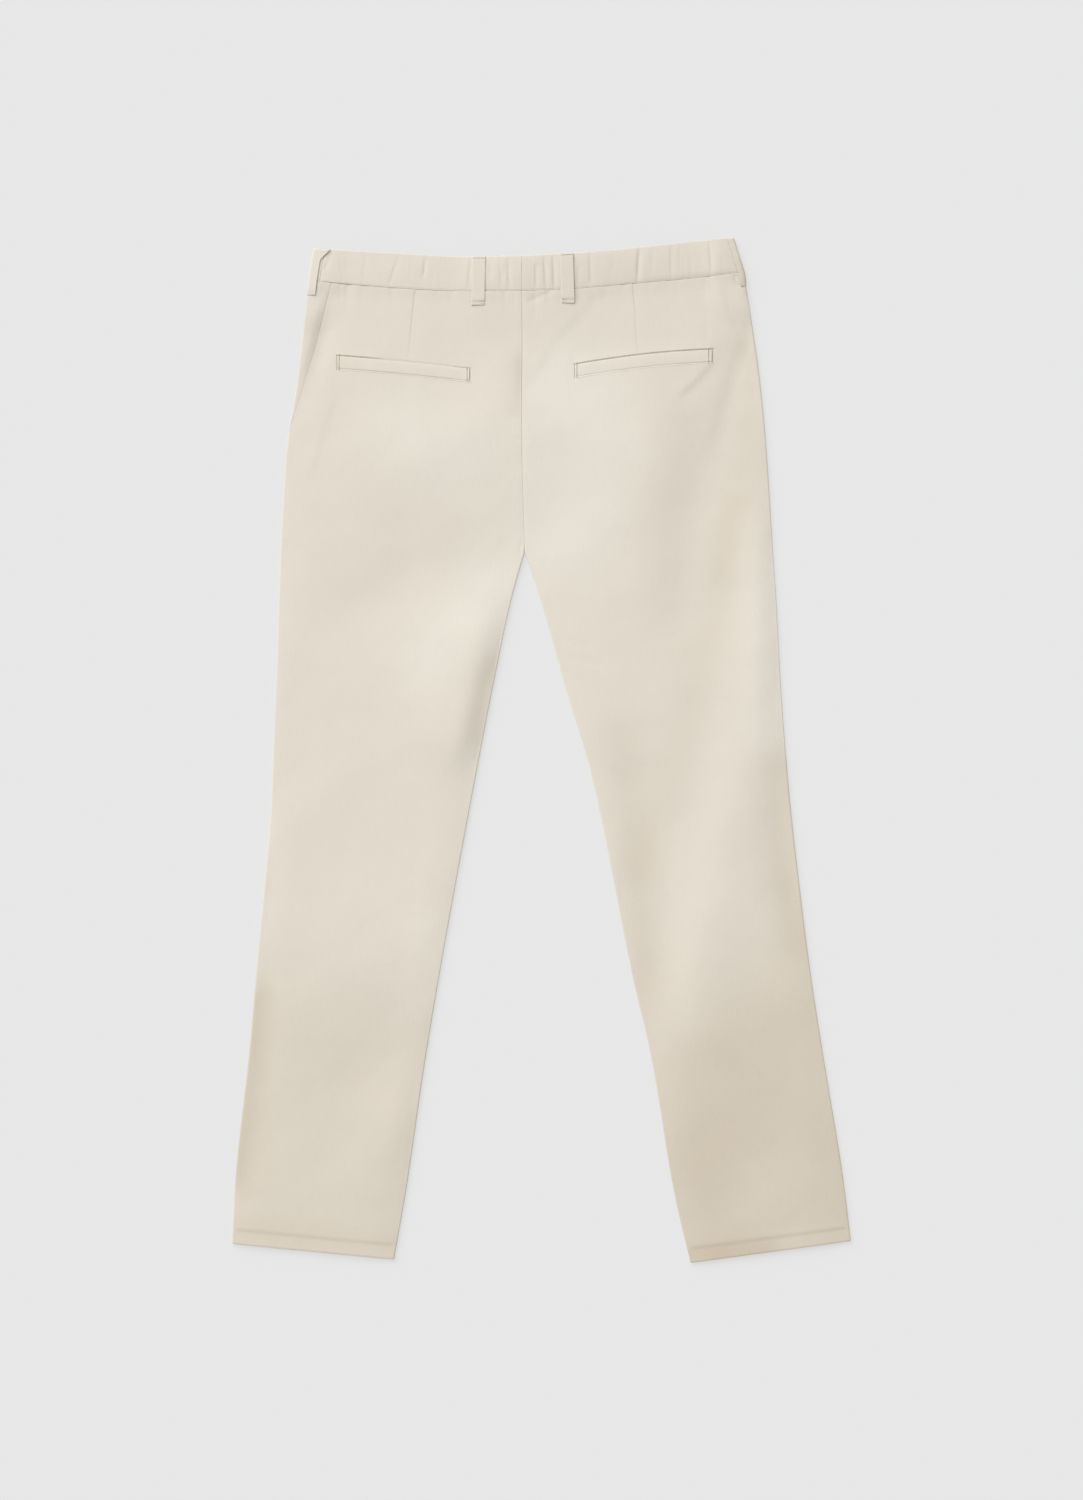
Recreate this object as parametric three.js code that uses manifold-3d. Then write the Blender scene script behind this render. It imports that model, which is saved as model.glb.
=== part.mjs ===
// A pair of chino trousers laid flat with the back side up.
// Millimetres. +X is to the right, +Y points at the waist and +Z is up, away from the surface it lies on.
// The fronts lie on that surface and the backs lie on the fronts, joined along the side seams and inseams.

import * as THREE from 'three';
import Module from 'manifold-3d';
import { mergeVertices } from 'three/addons/utils/BufferGeometryUtils.js';

const { clamp, lerp, smoothstep } = THREE.MathUtils;

// Cloth
const CLOTH = 1.4;
const EDGE_RADIUS = 2.0;
const SEAM_GAP = 0.3;
const FACE_HEIGHT = 5.4;
const SHOULDER = 30;
const QUARTER_TURN = Math.PI / 2;

// Waistband
const BAND_CLOTH = 1.8;
const BAND_RADIUS = 2.2;
const BAND_FACE = 6.1;
const GATHER_PUFF = 0.9;
const GATHER_WIDTH = 2.6;
const FRONT_DROP = 6;
const OVERLAP = 15;
const OVERLAP_RAMP = 14;

// Trim
const LOOP_WIDTH = 14;
const LOOP_CLOTH = 1.2;
const LOOP_FOOT = 15;
const LOOP_ARCH = 0.6;
const SIDE_LOOP_CLEARANCE = 0.4;
const WELT_HEIGHT = 13;
const WELT_CLOTH = 1.0;
const ZIP_WIDTH = 26;
const SHIELD_WIDTH = 40;
const FLY_LENGTH = 165;
const FLY_CLOTH = 1.0;
const BUTTON_RADIUS = 8;
const BUTTON_THICKNESS = 2.0;
const BUTTON_HOLE_RADIUS = 0.9;
const BUTTON_HOLE_OFFSET = 1.9;

// The waistband's upper edge and its seam to the trousers, from the left side to the right.
const WAIST = [
  { topX: -239, topY: 526.5, seamX: -244.5, seamY: 493 },
  { topX: -205.5, topY: 524.5, seamX: -206, seamY: 489.2 },
  { topX: -144.5, topY: 521, seamX: -144.5, seamY: 484.2 },
  { topX: -86, topY: 518, seamX: -86, seamY: 481.6 },
  { topX: -20.7, topY: 519, seamX: -20.7, seamY: 481.7 },
  { topX: 32, topY: 522, seamX: 32, seamY: 483.8 },
  { topX: 94, topY: 527, seamX: 94, seamY: 489.3 },
  { topX: 158, topY: 534, seamX: 160, seamY: 495.2 },
  { topX: 201, topY: 538, seamX: 212.5, seamY: 501.8 },
];
const CENTRE_ROW = 4;

// The centre seam, from the waist seam down to the fork, where the legs part.
const CENTRE_SEAM = [
  { x: -20.7, y: 481.7 },
  { x: -20.3, y: 428 },
  { x: -20.7, y: 375 },
  { x: -20.4, y: 307 },
  { x: -17.6, y: 207.5 },
];
const FORK_ROW = 4;

// Each leg's outseam, a row for each section from the waist seam to the hem.
const LEFT_OUTSEAM = [
  { name: 'waist', x: -244.5, y: 493 },
  { name: 'hip', x: -251.5, y: 430 },
  { name: 'pocket', x: -257.5, y: 382.5 },
  { name: 'seat', x: -268, y: 314.5 },
  { name: 'fork', x: -274.3, y: 207.5 },
  { name: 'upper thigh', x: -276.4, y: 153 },
  { name: 'thigh', x: -279, y: 73 },
  { name: 'lower thigh', x: -282.2, y: -0.5 },
  { name: 'knee', x: -285.5, y: -79 },
  { name: 'calf', x: -297, y: -200 },
  { name: 'shin', x: -307, y: -315.5 },
  { name: 'ankle', x: -320.5, y: -436 },
  { name: 'hem', x: -325, y: -518 },
];
const RIGHT_OUTSEAM = [
  { name: 'waist', x: 212.5, y: 501.8 },
  { name: 'hip', x: 222.3, y: 440.5 },
  { name: 'pocket', x: 230.2, y: 382.5 },
  { name: 'seat', x: 236.5, y: 314.5 },
  { name: 'fork', x: 243.3, y: 207.5 },
  { name: 'upper thigh', x: 247, y: 153 },
  { name: 'thigh', x: 251.2, y: 73 },
  { name: 'lower thigh', x: 256.5, y: -0.5 },
  { name: 'knee', x: 263.8, y: -79 },
  { name: 'calf', x: 279.5, y: -210.5 },
  { name: 'shin', x: 294.3, y: -310 },
  { name: 'ankle', x: 315, y: -436 },
  { name: 'hem', x: 325, y: -515 },
];

// Each leg's inseam, from the fork to the hem, in step with the outseam's rows.
const LEFT_INSEAM = [
  { name: 'fork', x: -17.6, y: 207.5 },
  { name: 'upper thigh', x: -33.3, y: 150.5 },
  { name: 'thigh', x: -51.2, y: 64.5 },
  { name: 'lower thigh', x: -65.4, y: -9 },
  { name: 'knee', x: -80.6, y: -90 },
  { name: 'calf', x: -103.2, y: -214 },
  { name: 'shin', x: -122.6, y: -330 },
  { name: 'ankle', x: -140.4, y: -452 },
  { name: 'hem', x: -154.6, y: -534.5 },
];
const RIGHT_INSEAM = [
  { name: 'fork', x: -17.6, y: 207.5 },
  { name: 'upper thigh', x: 1.3, y: 150.5 },
  { name: 'thigh', x: 25.5, y: 64.5 },
  { name: 'lower thigh', x: 48, y: -9 },
  { name: 'knee', x: 66.4, y: -90 },
  { name: 'calf', x: 93.2, y: -226.5 },
  { name: 'shin', x: 115.8, y: -326 },
  { name: 'ankle', x: 137.8, y: -457.5 },
  { name: 'hem', x: 156.2, y: -538 },
];

// The largest ridges (rise above 0) and troughs (below 0) of the upper layer, each along a line of points.
const FOLDS = [
  {
    name: 'left inner thigh ridge',
    rise: 1.25,
    width: 38,
    points: [[-30, 176], [-62, 108], [-92, 44], [-112, -50]],
  },
  { name: 'left seat trough', rise: -0.9, width: 42, points: [[-45, 205], [-120, 182], [-190, 150]] },
  { name: 'left seat rise', rise: 0.8, width: 50, points: [[-48, 342], [-110, 322], [-175, 300]] },
  { name: 'left outer thigh trough', rise: -0.5, width: 26, points: [[-256, 80], [-262, -20]] },
  { name: 'left knee trough', rise: -0.5, width: 36, points: [[-170, -50], [-218, -110]] },
  { name: 'left calf rise', rise: 0.6, width: 46, points: [[-150, -190], [-232, -214]] },
  { name: 'left shin trough', rise: -1, width: 40, points: [[-158, -292], [-216, -350]] },
  { name: 'left ankle rise', rise: 0.7, width: 38, points: [[-150, -380], [-186, -440]] },
  { name: 'left outer calf trough', rise: -0.6, width: 24, points: [[-288, -236], [-308, -430]] },
  { name: 'right hip trough', rise: -1.1, width: 36, points: [[186, 384], [176, 258], [170, 120]] },
  {
    name: 'right leg ridge',
    rise: 1.2,
    width: 34,
    points: [[234, 300], [214, 130], [192, 20], [158, -90], [134, -200], [120, -290]],
  },
  {
    name: 'right inner knee trough',
    rise: -0.9,
    width: 25,
    points: [[70, 76], [92, -10], [106, -126], [112, -180]],
  },
  { name: 'right seat rise', rise: 0.7, width: 62, points: [[24, 344], [100, 318]] },
  { name: 'right outer calf trough', rise: -0.6, width: 26, points: [[262, -40], [278, -130], [292, -210]] },
  { name: 'right shin trough', rise: -0.7, width: 40, points: [[196, -300], [240, -430]] },
  { name: 'right ankle rise', rise: 0.5, width: 34, points: [[170, -372], [186, -470]] },
];

// Hard things under the fronts hold the cloth above them off the surface.
const FLY_X = -20.7;
const FRONT_LOOP_XS = [-125.7, 84.3];
const BUTTON_Y = 494.5;
const LIFTS = [
  { x: FLY_X, y1: BUTTON_Y, y2: BUTTON_Y, radius: 22, fade: 60, rise: BUTTON_THICKNESS + SEAM_GAP },
  { x: FRONT_LOOP_XS[0], y1: 462, y2: 522, radius: 10, fade: 30, rise: 1.6 },
  { x: FRONT_LOOP_XS[1], y1: 467, y2: 528, radius: 10, fade: 30, rise: 1.6 },
  { x: -242, y1: 476, y2: 530, radius: 14, fade: 30, rise: 1.7 },
  { x: 207, y1: 484, y2: 542, radius: 14, fade: 30, rise: 1.7 },
];

// The fly's layers hold the seat up a little along the centre.
const FLY_RISE = { x: FLY_X, y1: 490, y2: 320, radius: 32, fade: 60, rise: 0.9 };

// The elastic's gathers. top and foot are where the crease meets the upper edge and the seam,
// and it shows from the share `from` to the share `to` of the band's height, counted from the seam.
const GATHERS = [
  { top: -221, foot: -225, from: 0.45, to: 1, depth: 1 },
  { top: -184.5, foot: -188.5, from: 0, to: 1, depth: 0.5 },
  { top: -149, foot: -161.5, from: 0, to: 1, depth: 0.7 },
  { top: -137, foot: -138.5, from: 0.4, to: 1, depth: 0.4 },
  { top: -121.5, foot: -126.5, from: 0.1, to: 1, depth: 0.8 },
  { top: -75, foot: -77, from: 0, to: 1, depth: 0.9 },
  { top: -54, foot: -54.5, from: 0.5, to: 1, depth: 0.5 },
  { top: -43, foot: -43, from: 0, to: 0.5, depth: 0.5 },
  { top: -36, foot: -34, from: 0, to: 1, depth: 0.9 },
  { top: -7, foot: -6, from: 0, to: 0.6, depth: 0.8 },
  { top: 2, foot: 4.5, from: 0, to: 1, depth: 0.9 },
  { top: 11.5, foot: 13, from: 0, to: 1, depth: 1 },
  { top: 38, foot: 38, from: 0, to: 0.5, depth: 0.5 },
  { top: 49.5, foot: 52, from: 0.2, to: 1, depth: 0.8 },
  { top: 102, foot: 100, from: 0, to: 1, depth: 1 },
  { top: 135.5, foot: 135.5, from: 0, to: 1, depth: 0.5 },
  { top: 175.5, foot: 178, from: 0.2, to: 1, depth: 0.8 },
];

// The loops at the back, on either side of the centre seam.
const BACK_LOOPS = [
  { name: 'back_left_loop', topX: -65.6, footX: -66.6 },
  { name: 'back_right_loop', topX: 26.2, footX: 27.8 },
];

// The back pockets' welts, along their upper edges. bow is how far the middle stands above the ends' line.
const WELTS = [
  { name: 'back_left_welt', side: 'left', x1: -214, y1: 413.5, x2: -75.5, y2: 400, bow: 1 },
  { name: 'back_right_welt', side: 'right', x1: 35.5, y1: 404.5, x2: 179, y2: 420.5, bow: 2.4 },
];

// The darts above the back pockets, from the waist seam down to the welt.
const DARTS = [
  { rise: -0.7, width: 3.5, points: [[-133, 480], [-140, 414]] },
  { rise: -0.7, width: 3.5, points: [[96, 489], [101, 416]] },
];

const TWILL = { color: 0xe2dacd, roughness: 0.9, metalness: 0 };
const TWILL_SHADE = { color: 0xd8cfbf, roughness: 0.9, metalness: 0 };
const HORN = { color: 0xcdbfa6, roughness: 0.45, metalness: 0 };
const TAPE = { color: 0xd3cab8, roughness: 0.8, metalness: 0 };

// Smooth curves through the tables' rows. A curve's parameter is the row's number.

function curveThrough(rows, xKey, yKey) {
  const points = rows.map((row) => new THREE.Vector3(row[xKey], row[yKey], 0));
  const curve = new THREE.CatmullRomCurve3(points, false, 'catmullrom', 0.5);
  return (row) => curve.getPoint(row / (rows.length - 1));
}

const waistTop = curveThrough(WAIST, 'topX', 'topY');
const waistSeam = curveThrough(WAIST, 'seamX', 'seamY');
const centreSeam = curveThrough(CENTRE_SEAM, 'x', 'y');

function lineHeight(line, x) {
  let low = 0;
  let high = WAIST.length - 1;
  for (let step = 0; step < 24; step += 1) {
    const middle = (low + high) / 2;
    if (line(middle).x < x) low = middle;
    else high = middle;
  }
  return line((low + high) / 2).y;
}

const SIDES = {
  left: {
    outseam: curveThrough(LEFT_OUTSEAM, 'x', 'y'),
    inseam: curveThrough(LEFT_INSEAM, 'x', 'y'),
    waistEnd: 0,
    inward: 1,
    // The front comes round onto the upper side at the left hip, so its seam shows there.
    seamTravel: (row) => (row < 0 ? 13 : 25 * Math.max(0, 1 - row / 3)),
  },
  right: {
    outseam: curveThrough(RIGHT_OUTSEAM, 'x', 'y'),
    inseam: curveThrough(RIGHT_INSEAM, 'x', 'y'),
    waistEnd: WAIST.length - 1,
    inward: -1,
    seamTravel: () => 0,
  },
};
const HEM_ROW = LEFT_OUTSEAM.length - 1;

function sideAt(x) {
  return x < FLY_X ? SIDES.left : SIDES.right;
}

// A section runs across one side of the trousers, from its outer edge to the centre seam or inseam.
// row is -1 at the waistband's upper edge, 0 at its seam, FORK_ROW at the fork and HEM_ROW at the hem.

function section(side, row) {
  const halfGap = (SEAM_GAP / 2) * side.inward;
  if (row < 0) {
    const ends = [side.waistEnd, CENTRE_ROW].map((at) => waistSeam(at).lerp(waistTop(at), -row));
    ends[1].x -= halfGap;
    return { outer: ends[0], inner: ends[1] };
  }
  const outer = side.outseam(row);
  const inner = row <= FORK_ROW ? centreSeam(row) : side.inseam(row - FORK_ROW);
  inner.x -= halfGap;
  return { outer, inner };
}

function sectionWidth(side, row) {
  const { outer, inner } = section(side, row);
  return outer.distanceTo(inner);
}

// The place `inset` millimetres in from the outer edge. The waist's lines curve, and the front's are lower.
function place(side, row, inset, isFront = false) {
  const { outer, inner } = section(side, row);
  const at = outer.clone().lerp(inner, inset / outer.distanceTo(inner));
  const waistShare = row < 0 ? 1 : Math.max(0, 1 - row) ** 2;
  if (row < 0) {
    at.y = lerp(lineHeight(waistSeam, at.x), lineHeight(waistTop, at.x), -row);
  } else if (waistShare > 0) {
    const top = section(side, 0);
    const share = inset / outer.distanceTo(inner);
    const straight = lerp(top.outer.y, top.inner.y, share);
    const curved = lineHeight(waistSeam, lerp(top.outer.x, top.inner.x, share));
    at.y += (curved - straight) * waistShare;
  }
  if (isFront) {
    const across = (at.x - waistSeam(0).x) / (waistSeam(WAIST.length - 1).x - waistSeam(0).x);
    at.y -= FRONT_DROP * Math.sin(Math.PI * clamp(across, 0, 1)) * waistShare;
  }
  return at;
}

// How high things stand

function distanceToLine(x, y, points) {
  const parts = points.slice(1).map(([endX, endY], index) => {
    const [startX, startY] = points[index];
    const dx = endX - startX;
    const dy = endY - startY;
    const along = clamp(((x - startX) * dx + (y - startY) * dy) / (dx * dx + dy * dy || 1), 0, 1);
    return Math.hypot(x - startX - along * dx, y - startY - along * dy);
  });
  return Math.min(...parts);
}

function risePlateau(x, y, { x: centre, y1, y2, radius, fade, rise }) {
  const away = distanceToLine(x, y, [[centre, y1], [centre, y2]]);
  return rise * (1 - smoothstep(away, radius, radius + fade));
}

function lift(x, y) {
  return LIFTS.reduce((sum, hard) => sum + risePlateau(x, y, hard), 0);
}

// Where folds meet, the highest ridge and the deepest trough count, so that no two ridges pile up.
function foldRise(x, y) {
  const rises = [...FOLDS, ...DARTS].map(({ rise, width, points }) =>
    rise * Math.exp(-((distanceToLine(x, y, points) / width) ** 2)));
  return Math.max(0, risePlateau(x, y, FLY_RISE), ...rises) + Math.min(0, ...rises);
}

function shoulder(inset) {
  return 1 - (1 - clamp(inset / SHOULDER, 0, 1)) ** 2;
}

// The seams lie in shallow dips: the centre seam, and the left side seam where it comes onto the upper side.
function seamDip(side, row, outerInset, innerInset) {
  const centreDip = row < FORK_ROW ? 0.4 * Math.exp(-((innerInset / 4) ** 2)) : 0;
  const travel = side.seamTravel(row);
  const sideDip = 0.7 * Math.exp(-(((outerInset - travel) / 8) ** 2)) * smoothstep(travel, 3, 9);
  return centreDip + sideDip;
}

function panelFace(side, row, x, y, outerInset, innerInset) {
  const forked = smoothstep(row, FORK_ROW - 0.25, FORK_ROW);
  const innerShoulder = lerp(1, shoulder(innerInset - EDGE_RADIUS), forked);
  const share = shoulder(outerInset - EDGE_RADIUS) * innerShoulder;
  const edge = 2 * EDGE_RADIUS;
  return edge + share * (FACE_HEIGHT - edge + foldRise(x, y) - seamDip(side, row, outerInset, innerInset));
}

function bandBase(outerInset) {
  return 2 * BAND_RADIUS + shoulder(outerInset - BAND_RADIUS) * (BAND_FACE - 2 * BAND_RADIUS);
}

function gatherPuff(row, x, outerInset) {
  const up = -row;
  const crease = GATHERS.reduce((deepest, gather) => {
    const away = (x - lerp(gather.foot, gather.top, up)) / GATHER_WIDTH;
    const shown = smoothstep(up, gather.from - 0.15, gather.from) * (1 - smoothstep(up, gather.to, gather.to + 0.15));
    return Math.max(deepest, gather.depth * shown * Math.exp(-away * away));
  }, 0);
  return GATHER_PUFF * (1 - crease) * shoulder(outerInset - BAND_RADIUS);
}

// A layer is one thickness of cloth: its roll at an edge, its wall and its upper face.
const PANEL = {
  radius: EDGE_RADIUS,
  wall: CLOTH,
  face: (side, row, at, outerInset, innerInset, depth) =>
    panelFace(side, row, at.x, at.y, outerInset, innerInset) - depth,
};
const BAND = {
  radius: BAND_RADIUS,
  wall: BAND_CLOTH,
  face: (side, row, at, outerInset, innerInset, depth) =>
    bandBase(outerInset) + (depth > 0 ? 0 : gatherPuff(row, at.x, outerInset)) - depth,
};

// Points of a layer. depth is 0 on the outside of the cloth and the wall on its inside.

function facePoint(side, row, inset, depth, layer) {
  const at = place(side, row, inset);
  at.z = layer.face(side, row, at, inset, sectionWidth(side, row) - inset, depth) + lift(at.x, at.y);
  return at;
}

function floorPoint(side, row, inset, depth) {
  const at = place(side, row, inset, true);
  at.z = depth + lift(at.x, at.y);
  return at;
}

// travel is the way along the cloth from the middle of the rolled edge: above 0 over it, below 0 under it.
// shift moves the point on along the cloth, by the same way at every depth, so that seams' ends are parallel.
function outerEdgePoint(side, row, travel, depth, layer, shift = 0) {
  const { radius } = layer;
  const arc = radius * QUARTER_TURN;
  const beyond = Math.max(0, Math.abs(travel) - arc);
  if (travel >= arc) return facePoint(side, row, radius + beyond + shift, depth, layer);
  if (travel <= -arc) return floorPoint(side, row, radius + beyond, depth);
  const turn = travel / radius;
  const at = place(side, row, radius - (radius - depth) * Math.cos(turn) + shift * Math.sin(turn));
  at.z = radius + (radius - depth) * Math.sin(turn) + shift * Math.cos(turn) + lift(at.x, at.y);
  return at;
}

// At the inner edge the cloth is flat above the fork, and rolls round the inseam below it.
function innerEdgePoint(side, row, share, depth, layer, upward) {
  const { radius } = layer;
  const width = sectionWidth(side, row);
  const turn = share * QUARTER_TURN * upward;
  const shift = (share > 0 ? 0 : SEAM_GAP / 2) * upward;
  const flatInset = width - share * radius * QUARTER_TURN;
  const flat = upward > 0
    ? facePoint(side, row, flatInset, depth, layer)
    : floorPoint(side, row, flatInset, depth);
  const rolled = place(side, row, width - radius + (radius - depth) * Math.cos(turn));
  rolled.z = radius + (radius - depth) * Math.sin(turn) + shift + lift(rolled.x, rolled.y);
  return flat.lerp(rolled, smoothstep(row, FORK_ROW - 0.06, FORK_ROW));
}

// Solids

// A wall through a grid of points. Each column is a function of the row and the depth.
function wallGeometry(columns, rows, wall) {
  const positions = [0, wall].flatMap((depth) =>
    rows.flatMap((row) => columns.flatMap((column) => column(row, depth).toArray())));
  const across = columns.length;
  const layerSize = across * rows.length;
  const at = (layer, row, column) => layer * layerSize + row * across + column;
  const triangles = [];
  const quad = (a, b, c, d) => triangles.push([a, b, c], [a, c, d]);
  for (let row = 0; row < rows.length - 1; row += 1) {
    for (let column = 0; column < across - 1; column += 1) {
      quad(at(0, row, column), at(0, row, column + 1), at(0, row + 1, column + 1), at(0, row + 1, column));
      quad(at(1, row, column), at(1, row + 1, column), at(1, row + 1, column + 1), at(1, row, column + 1));
    }
  }
  const lastRow = rows.length - 1;
  const lastColumn = across - 1;
  for (let column = 0; column < lastColumn; column += 1) {
    quad(at(0, 0, column + 1), at(0, 0, column), at(1, 0, column), at(1, 0, column + 1));
    quad(at(0, lastRow, column), at(0, lastRow, column + 1), at(1, lastRow, column + 1), at(1, lastRow, column));
  }
  for (let row = 0; row < lastRow; row += 1) {
    quad(at(0, row, 0), at(0, row + 1, 0), at(1, row + 1, 0), at(1, row, 0));
    quad(at(0, row + 1, lastColumn), at(0, row, lastColumn), at(1, row, lastColumn), at(1, row + 1, lastColumn));
  }
  return closedGeometry(positions, triangles);
}

// The faces point outwards, whichever way the grid ran.
function closedGeometry(positions, triangles) {
  const corner = (index) => new THREE.Vector3().fromArray(positions, index * 3);
  const volume = triangles.reduce((sum, [a, b, c]) => sum + corner(a).dot(corner(b).cross(corner(c))), 0);
  const outward = volume > 0 ? triangles : triangles.map(([a, b, c]) => [a, c, b]);
  const geometry = new THREE.BufferGeometry();
  geometry.setAttribute('position', new THREE.Float32BufferAttribute(positions, 3));
  geometry.setIndex(outward.flat());
  geometry.computeVertexNormals();
  return geometry;
}

function steps(from, to, count) {
  return Array.from({ length: count + 1 }, (_, step) => lerp(from, to, step / count));
}

// Shares from 0 to 1 that crowd towards both ends.
function crowdedShares(count) {
  return steps(0, Math.PI, count).map((angle) => (1 - Math.cos(angle)) / 2);
}

// Rows from just below the waist seam to the hem, with more of them at the fork.
const BELOW_BAND = 1.6 * SEAM_GAP / 60;
const panelRows = [
  BELOW_BAND, 0.25, 0.5, 0.75, 1, 1.35, 1.7, 2, 2.35, 2.7, 3, 3.3, 3.6, 3.8, 3.94, FORK_ROW, 4.1, 4.4,
  ...steps(4.7, HEM_ROW - 1, 15), 11.5, HEM_ROW,
];

// The columns of a back layer, from its side seam to where it lies flat.
function backEdgeColumns(side, layer) {
  const arc = layer.radius * QUARTER_TURN;
  return [0, 0.5, 1].map((share) => (row, depth) => {
    const seam = side.seamTravel(row);
    const travel = lerp(seam, Math.max(arc, seam + 1.2), share);
    return outerEdgePoint(side, row, travel, depth, layer, share > 0 ? 0 : SEAM_GAP / 2);
  });
}

// The back's columns as shares of a section, with three of them down the dart.
function backShares(side, first, last) {
  const [[dartX]] = DARTS.map(({ points }) => points[0]).filter(([x]) => sideAt(x) === side);
  const inset = Math.abs(dartX - section(side, 0).outer.x);
  const down = [-6, 0, 6].map((aside) => (inset + aside - first) / (last - first));
  const plain = crowdedShares(12).slice(1, -1).filter((share) => Math.abs(share - down[1]) > 0.05);
  return [...plain, ...down].sort((a, b) => a - b);
}

function backPanel(side) {
  const arc = EDGE_RADIUS * QUARTER_TURN;
  const first = (row) => EDGE_RADIUS + Math.max(arc, side.seamTravel(row) + 1.2) - arc;
  const last = (row) => sectionWidth(side, row) - arc;
  const middle = backShares(side, first(0), last(0)).map((share) => (row, depth) =>
    facePoint(side, row, lerp(first(row), last(row), share), depth, PANEL));
  const inner = [1, 0.5, 0].map((share) => (row, depth) =>
    innerEdgePoint(side, row, share, depth, PANEL, 1));
  return wallGeometry([...backEdgeColumns(side, PANEL), ...middle, ...inner], panelRows, CLOTH);
}

// The columns of a front layer, from its side seam round the edge and in along the surface.
function wrappedColumns(side, layer) {
  const arc = layer.radius * QUARTER_TURN;
  const over = (row) => Math.min(side.seamTravel(row) - 0.9, arc);
  const above = [0, 1 / 3, 2 / 3].map((share) => (row) => lerp(side.seamTravel(row), over(row), share));
  const round = steps(0, 1, 4).map((share) => (row) => lerp(over(row), -arc, share));
  return [...above, ...round].map((travel, index) => (row, depth) =>
    outerEdgePoint(side, row, travel(row), depth, layer, index > 0 ? 0 : -SEAM_GAP / 2));
}

// The front's columns as shares of a section, with some beside the front loop, which lifts the cloth.
function frontShares(side) {
  const { outer, inner } = section(side, 0);
  const loopX = FRONT_LOOP_XS.find((x) => sideAt(x) === side);
  const beside = [-9, 9].map((aside) => (loopX + aside - outer.x) / (inner.x - outer.x));
  return [...crowdedShares(8).slice(1, -1), ...beside].sort((a, b) => a - b);
}

function frontPanel(side) {
  const middle = frontShares(side).map((share) => (row, depth) =>
    floorPoint(side, row, sectionWidth(side, row) * share, depth));
  const inner = [1, 0.5, 0].map((share) => (row, depth) =>
    innerEdgePoint(side, row, share, depth, PANEL, -1));
  return wallGeometry([...wrappedColumns(side, PANEL), ...middle, ...inner], panelRows, CLOTH);
}

// Waistband

// The band's columns, given by where they meet its upper edge and its seam.
function gatherColumns(side) {
  const ends = [waistTop, waistSeam].map((line) => [line(side.waistEnd).x, line(CENTRE_ROW).x]);
  const share = (x, [outerX, centreX]) => (x - outerX) / (centreX - outerX);
  const marks = GATHERS.flatMap(({ top, foot }) =>
    [-GATHER_WIDTH, 0, GATHER_WIDTH].map((aside) => ({
      top: share(top + aside, ends[0]),
      foot: share(foot + aside, ends[1]),
    })));
  const own = marks.filter(({ top }) => top > 0 && top < 1).sort((a, b) => a.top - b.top);
  const first = (side.seamTravel(-1) + 6) / sectionWidth(side, -1);
  const all = [{ top: first, foot: first }, ...own.filter(({ top }) => top > first + 0.01), { top: 1, foot: 1 }];
  const widest = 0.06;
  return all.flatMap((mark, index) => {
    const next = all[index + 1];
    if (!next) return [mark];
    const parts = Math.ceil((next.top - mark.top) / widest);
    return steps(0, 1, parts).slice(0, -1).map((along) => ({
      top: lerp(mark.top, next.top, along),
      foot: lerp(mark.foot, next.foot, along),
    }));
  });
}

function backBand(side) {
  const gathered = gatherColumns(side).map(({ top, foot }) => (row, depth) =>
    facePoint(side, row, sectionWidth(side, row) * lerp(foot, top, -row), depth, BAND));
  return wallGeometry([...backEdgeColumns(side, BAND), ...gathered], [-1, -0.8, -0.5, -0.2, -1e-6], BAND_CLOTH);
}

// The left front's end laps under the right front's, which steps up over it.
function frontBand(side, stepsUp) {
  const shares = frontShares(side).map((share) => ({ share, past: 0 }));
  const lap = OVERLAP + 2;
  const ends = [-lap - OVERLAP_RAMP, -lap - OVERLAP_RAMP / 2, -lap, 0, OVERLAP].map((past) => ({ share: 1, past }));
  const first = ends[0].past / sectionWidth(side, 0) + 1;
  const flat = [...shares.filter(({ share }) => share < first - 0.01), ...ends].map(({ share, past }) =>
    (row, depth) => {
      const inset = sectionWidth(side, row) * share + past;
      const at = floorPoint(side, row, inset, depth);
      const stepped = smoothstep(inset - sectionWidth(side, row), -lap - OVERLAP_RAMP, -lap);
      if (stepsUp) at.z += (BAND_CLOTH + SEAM_GAP) * stepped;
      return at;
    });
  return wallGeometry([...wrappedColumns(side, BAND), ...flat], [-1, -0.5, -1e-6], BAND_CLOTH);
}

// Belt loops

const loopAcross = [-0.5, 0, 0.5];

// The panel's face at a place near the waist, between the waist seam and the pockets.
function faceNearWaist(x, y) {
  const side = sideAt(x);
  let low = 0;
  let high = 2;
  const insetAt = (row) => {
    const { outer, inner } = section(side, row);
    return ((x - outer.x) / (inner.x - outer.x)) * outer.distanceTo(inner);
  };
  for (let step = 0; step < 24; step += 1) {
    const middle = (low + high) / 2;
    if (place(side, middle, insetAt(middle)).y > y) low = middle;
    else high = middle;
  }
  const inset = insetAt(low);
  return panelFace(side, low, x, y, inset, sectionWidth(side, low) - inset) + lift(x, y);
}

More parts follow.
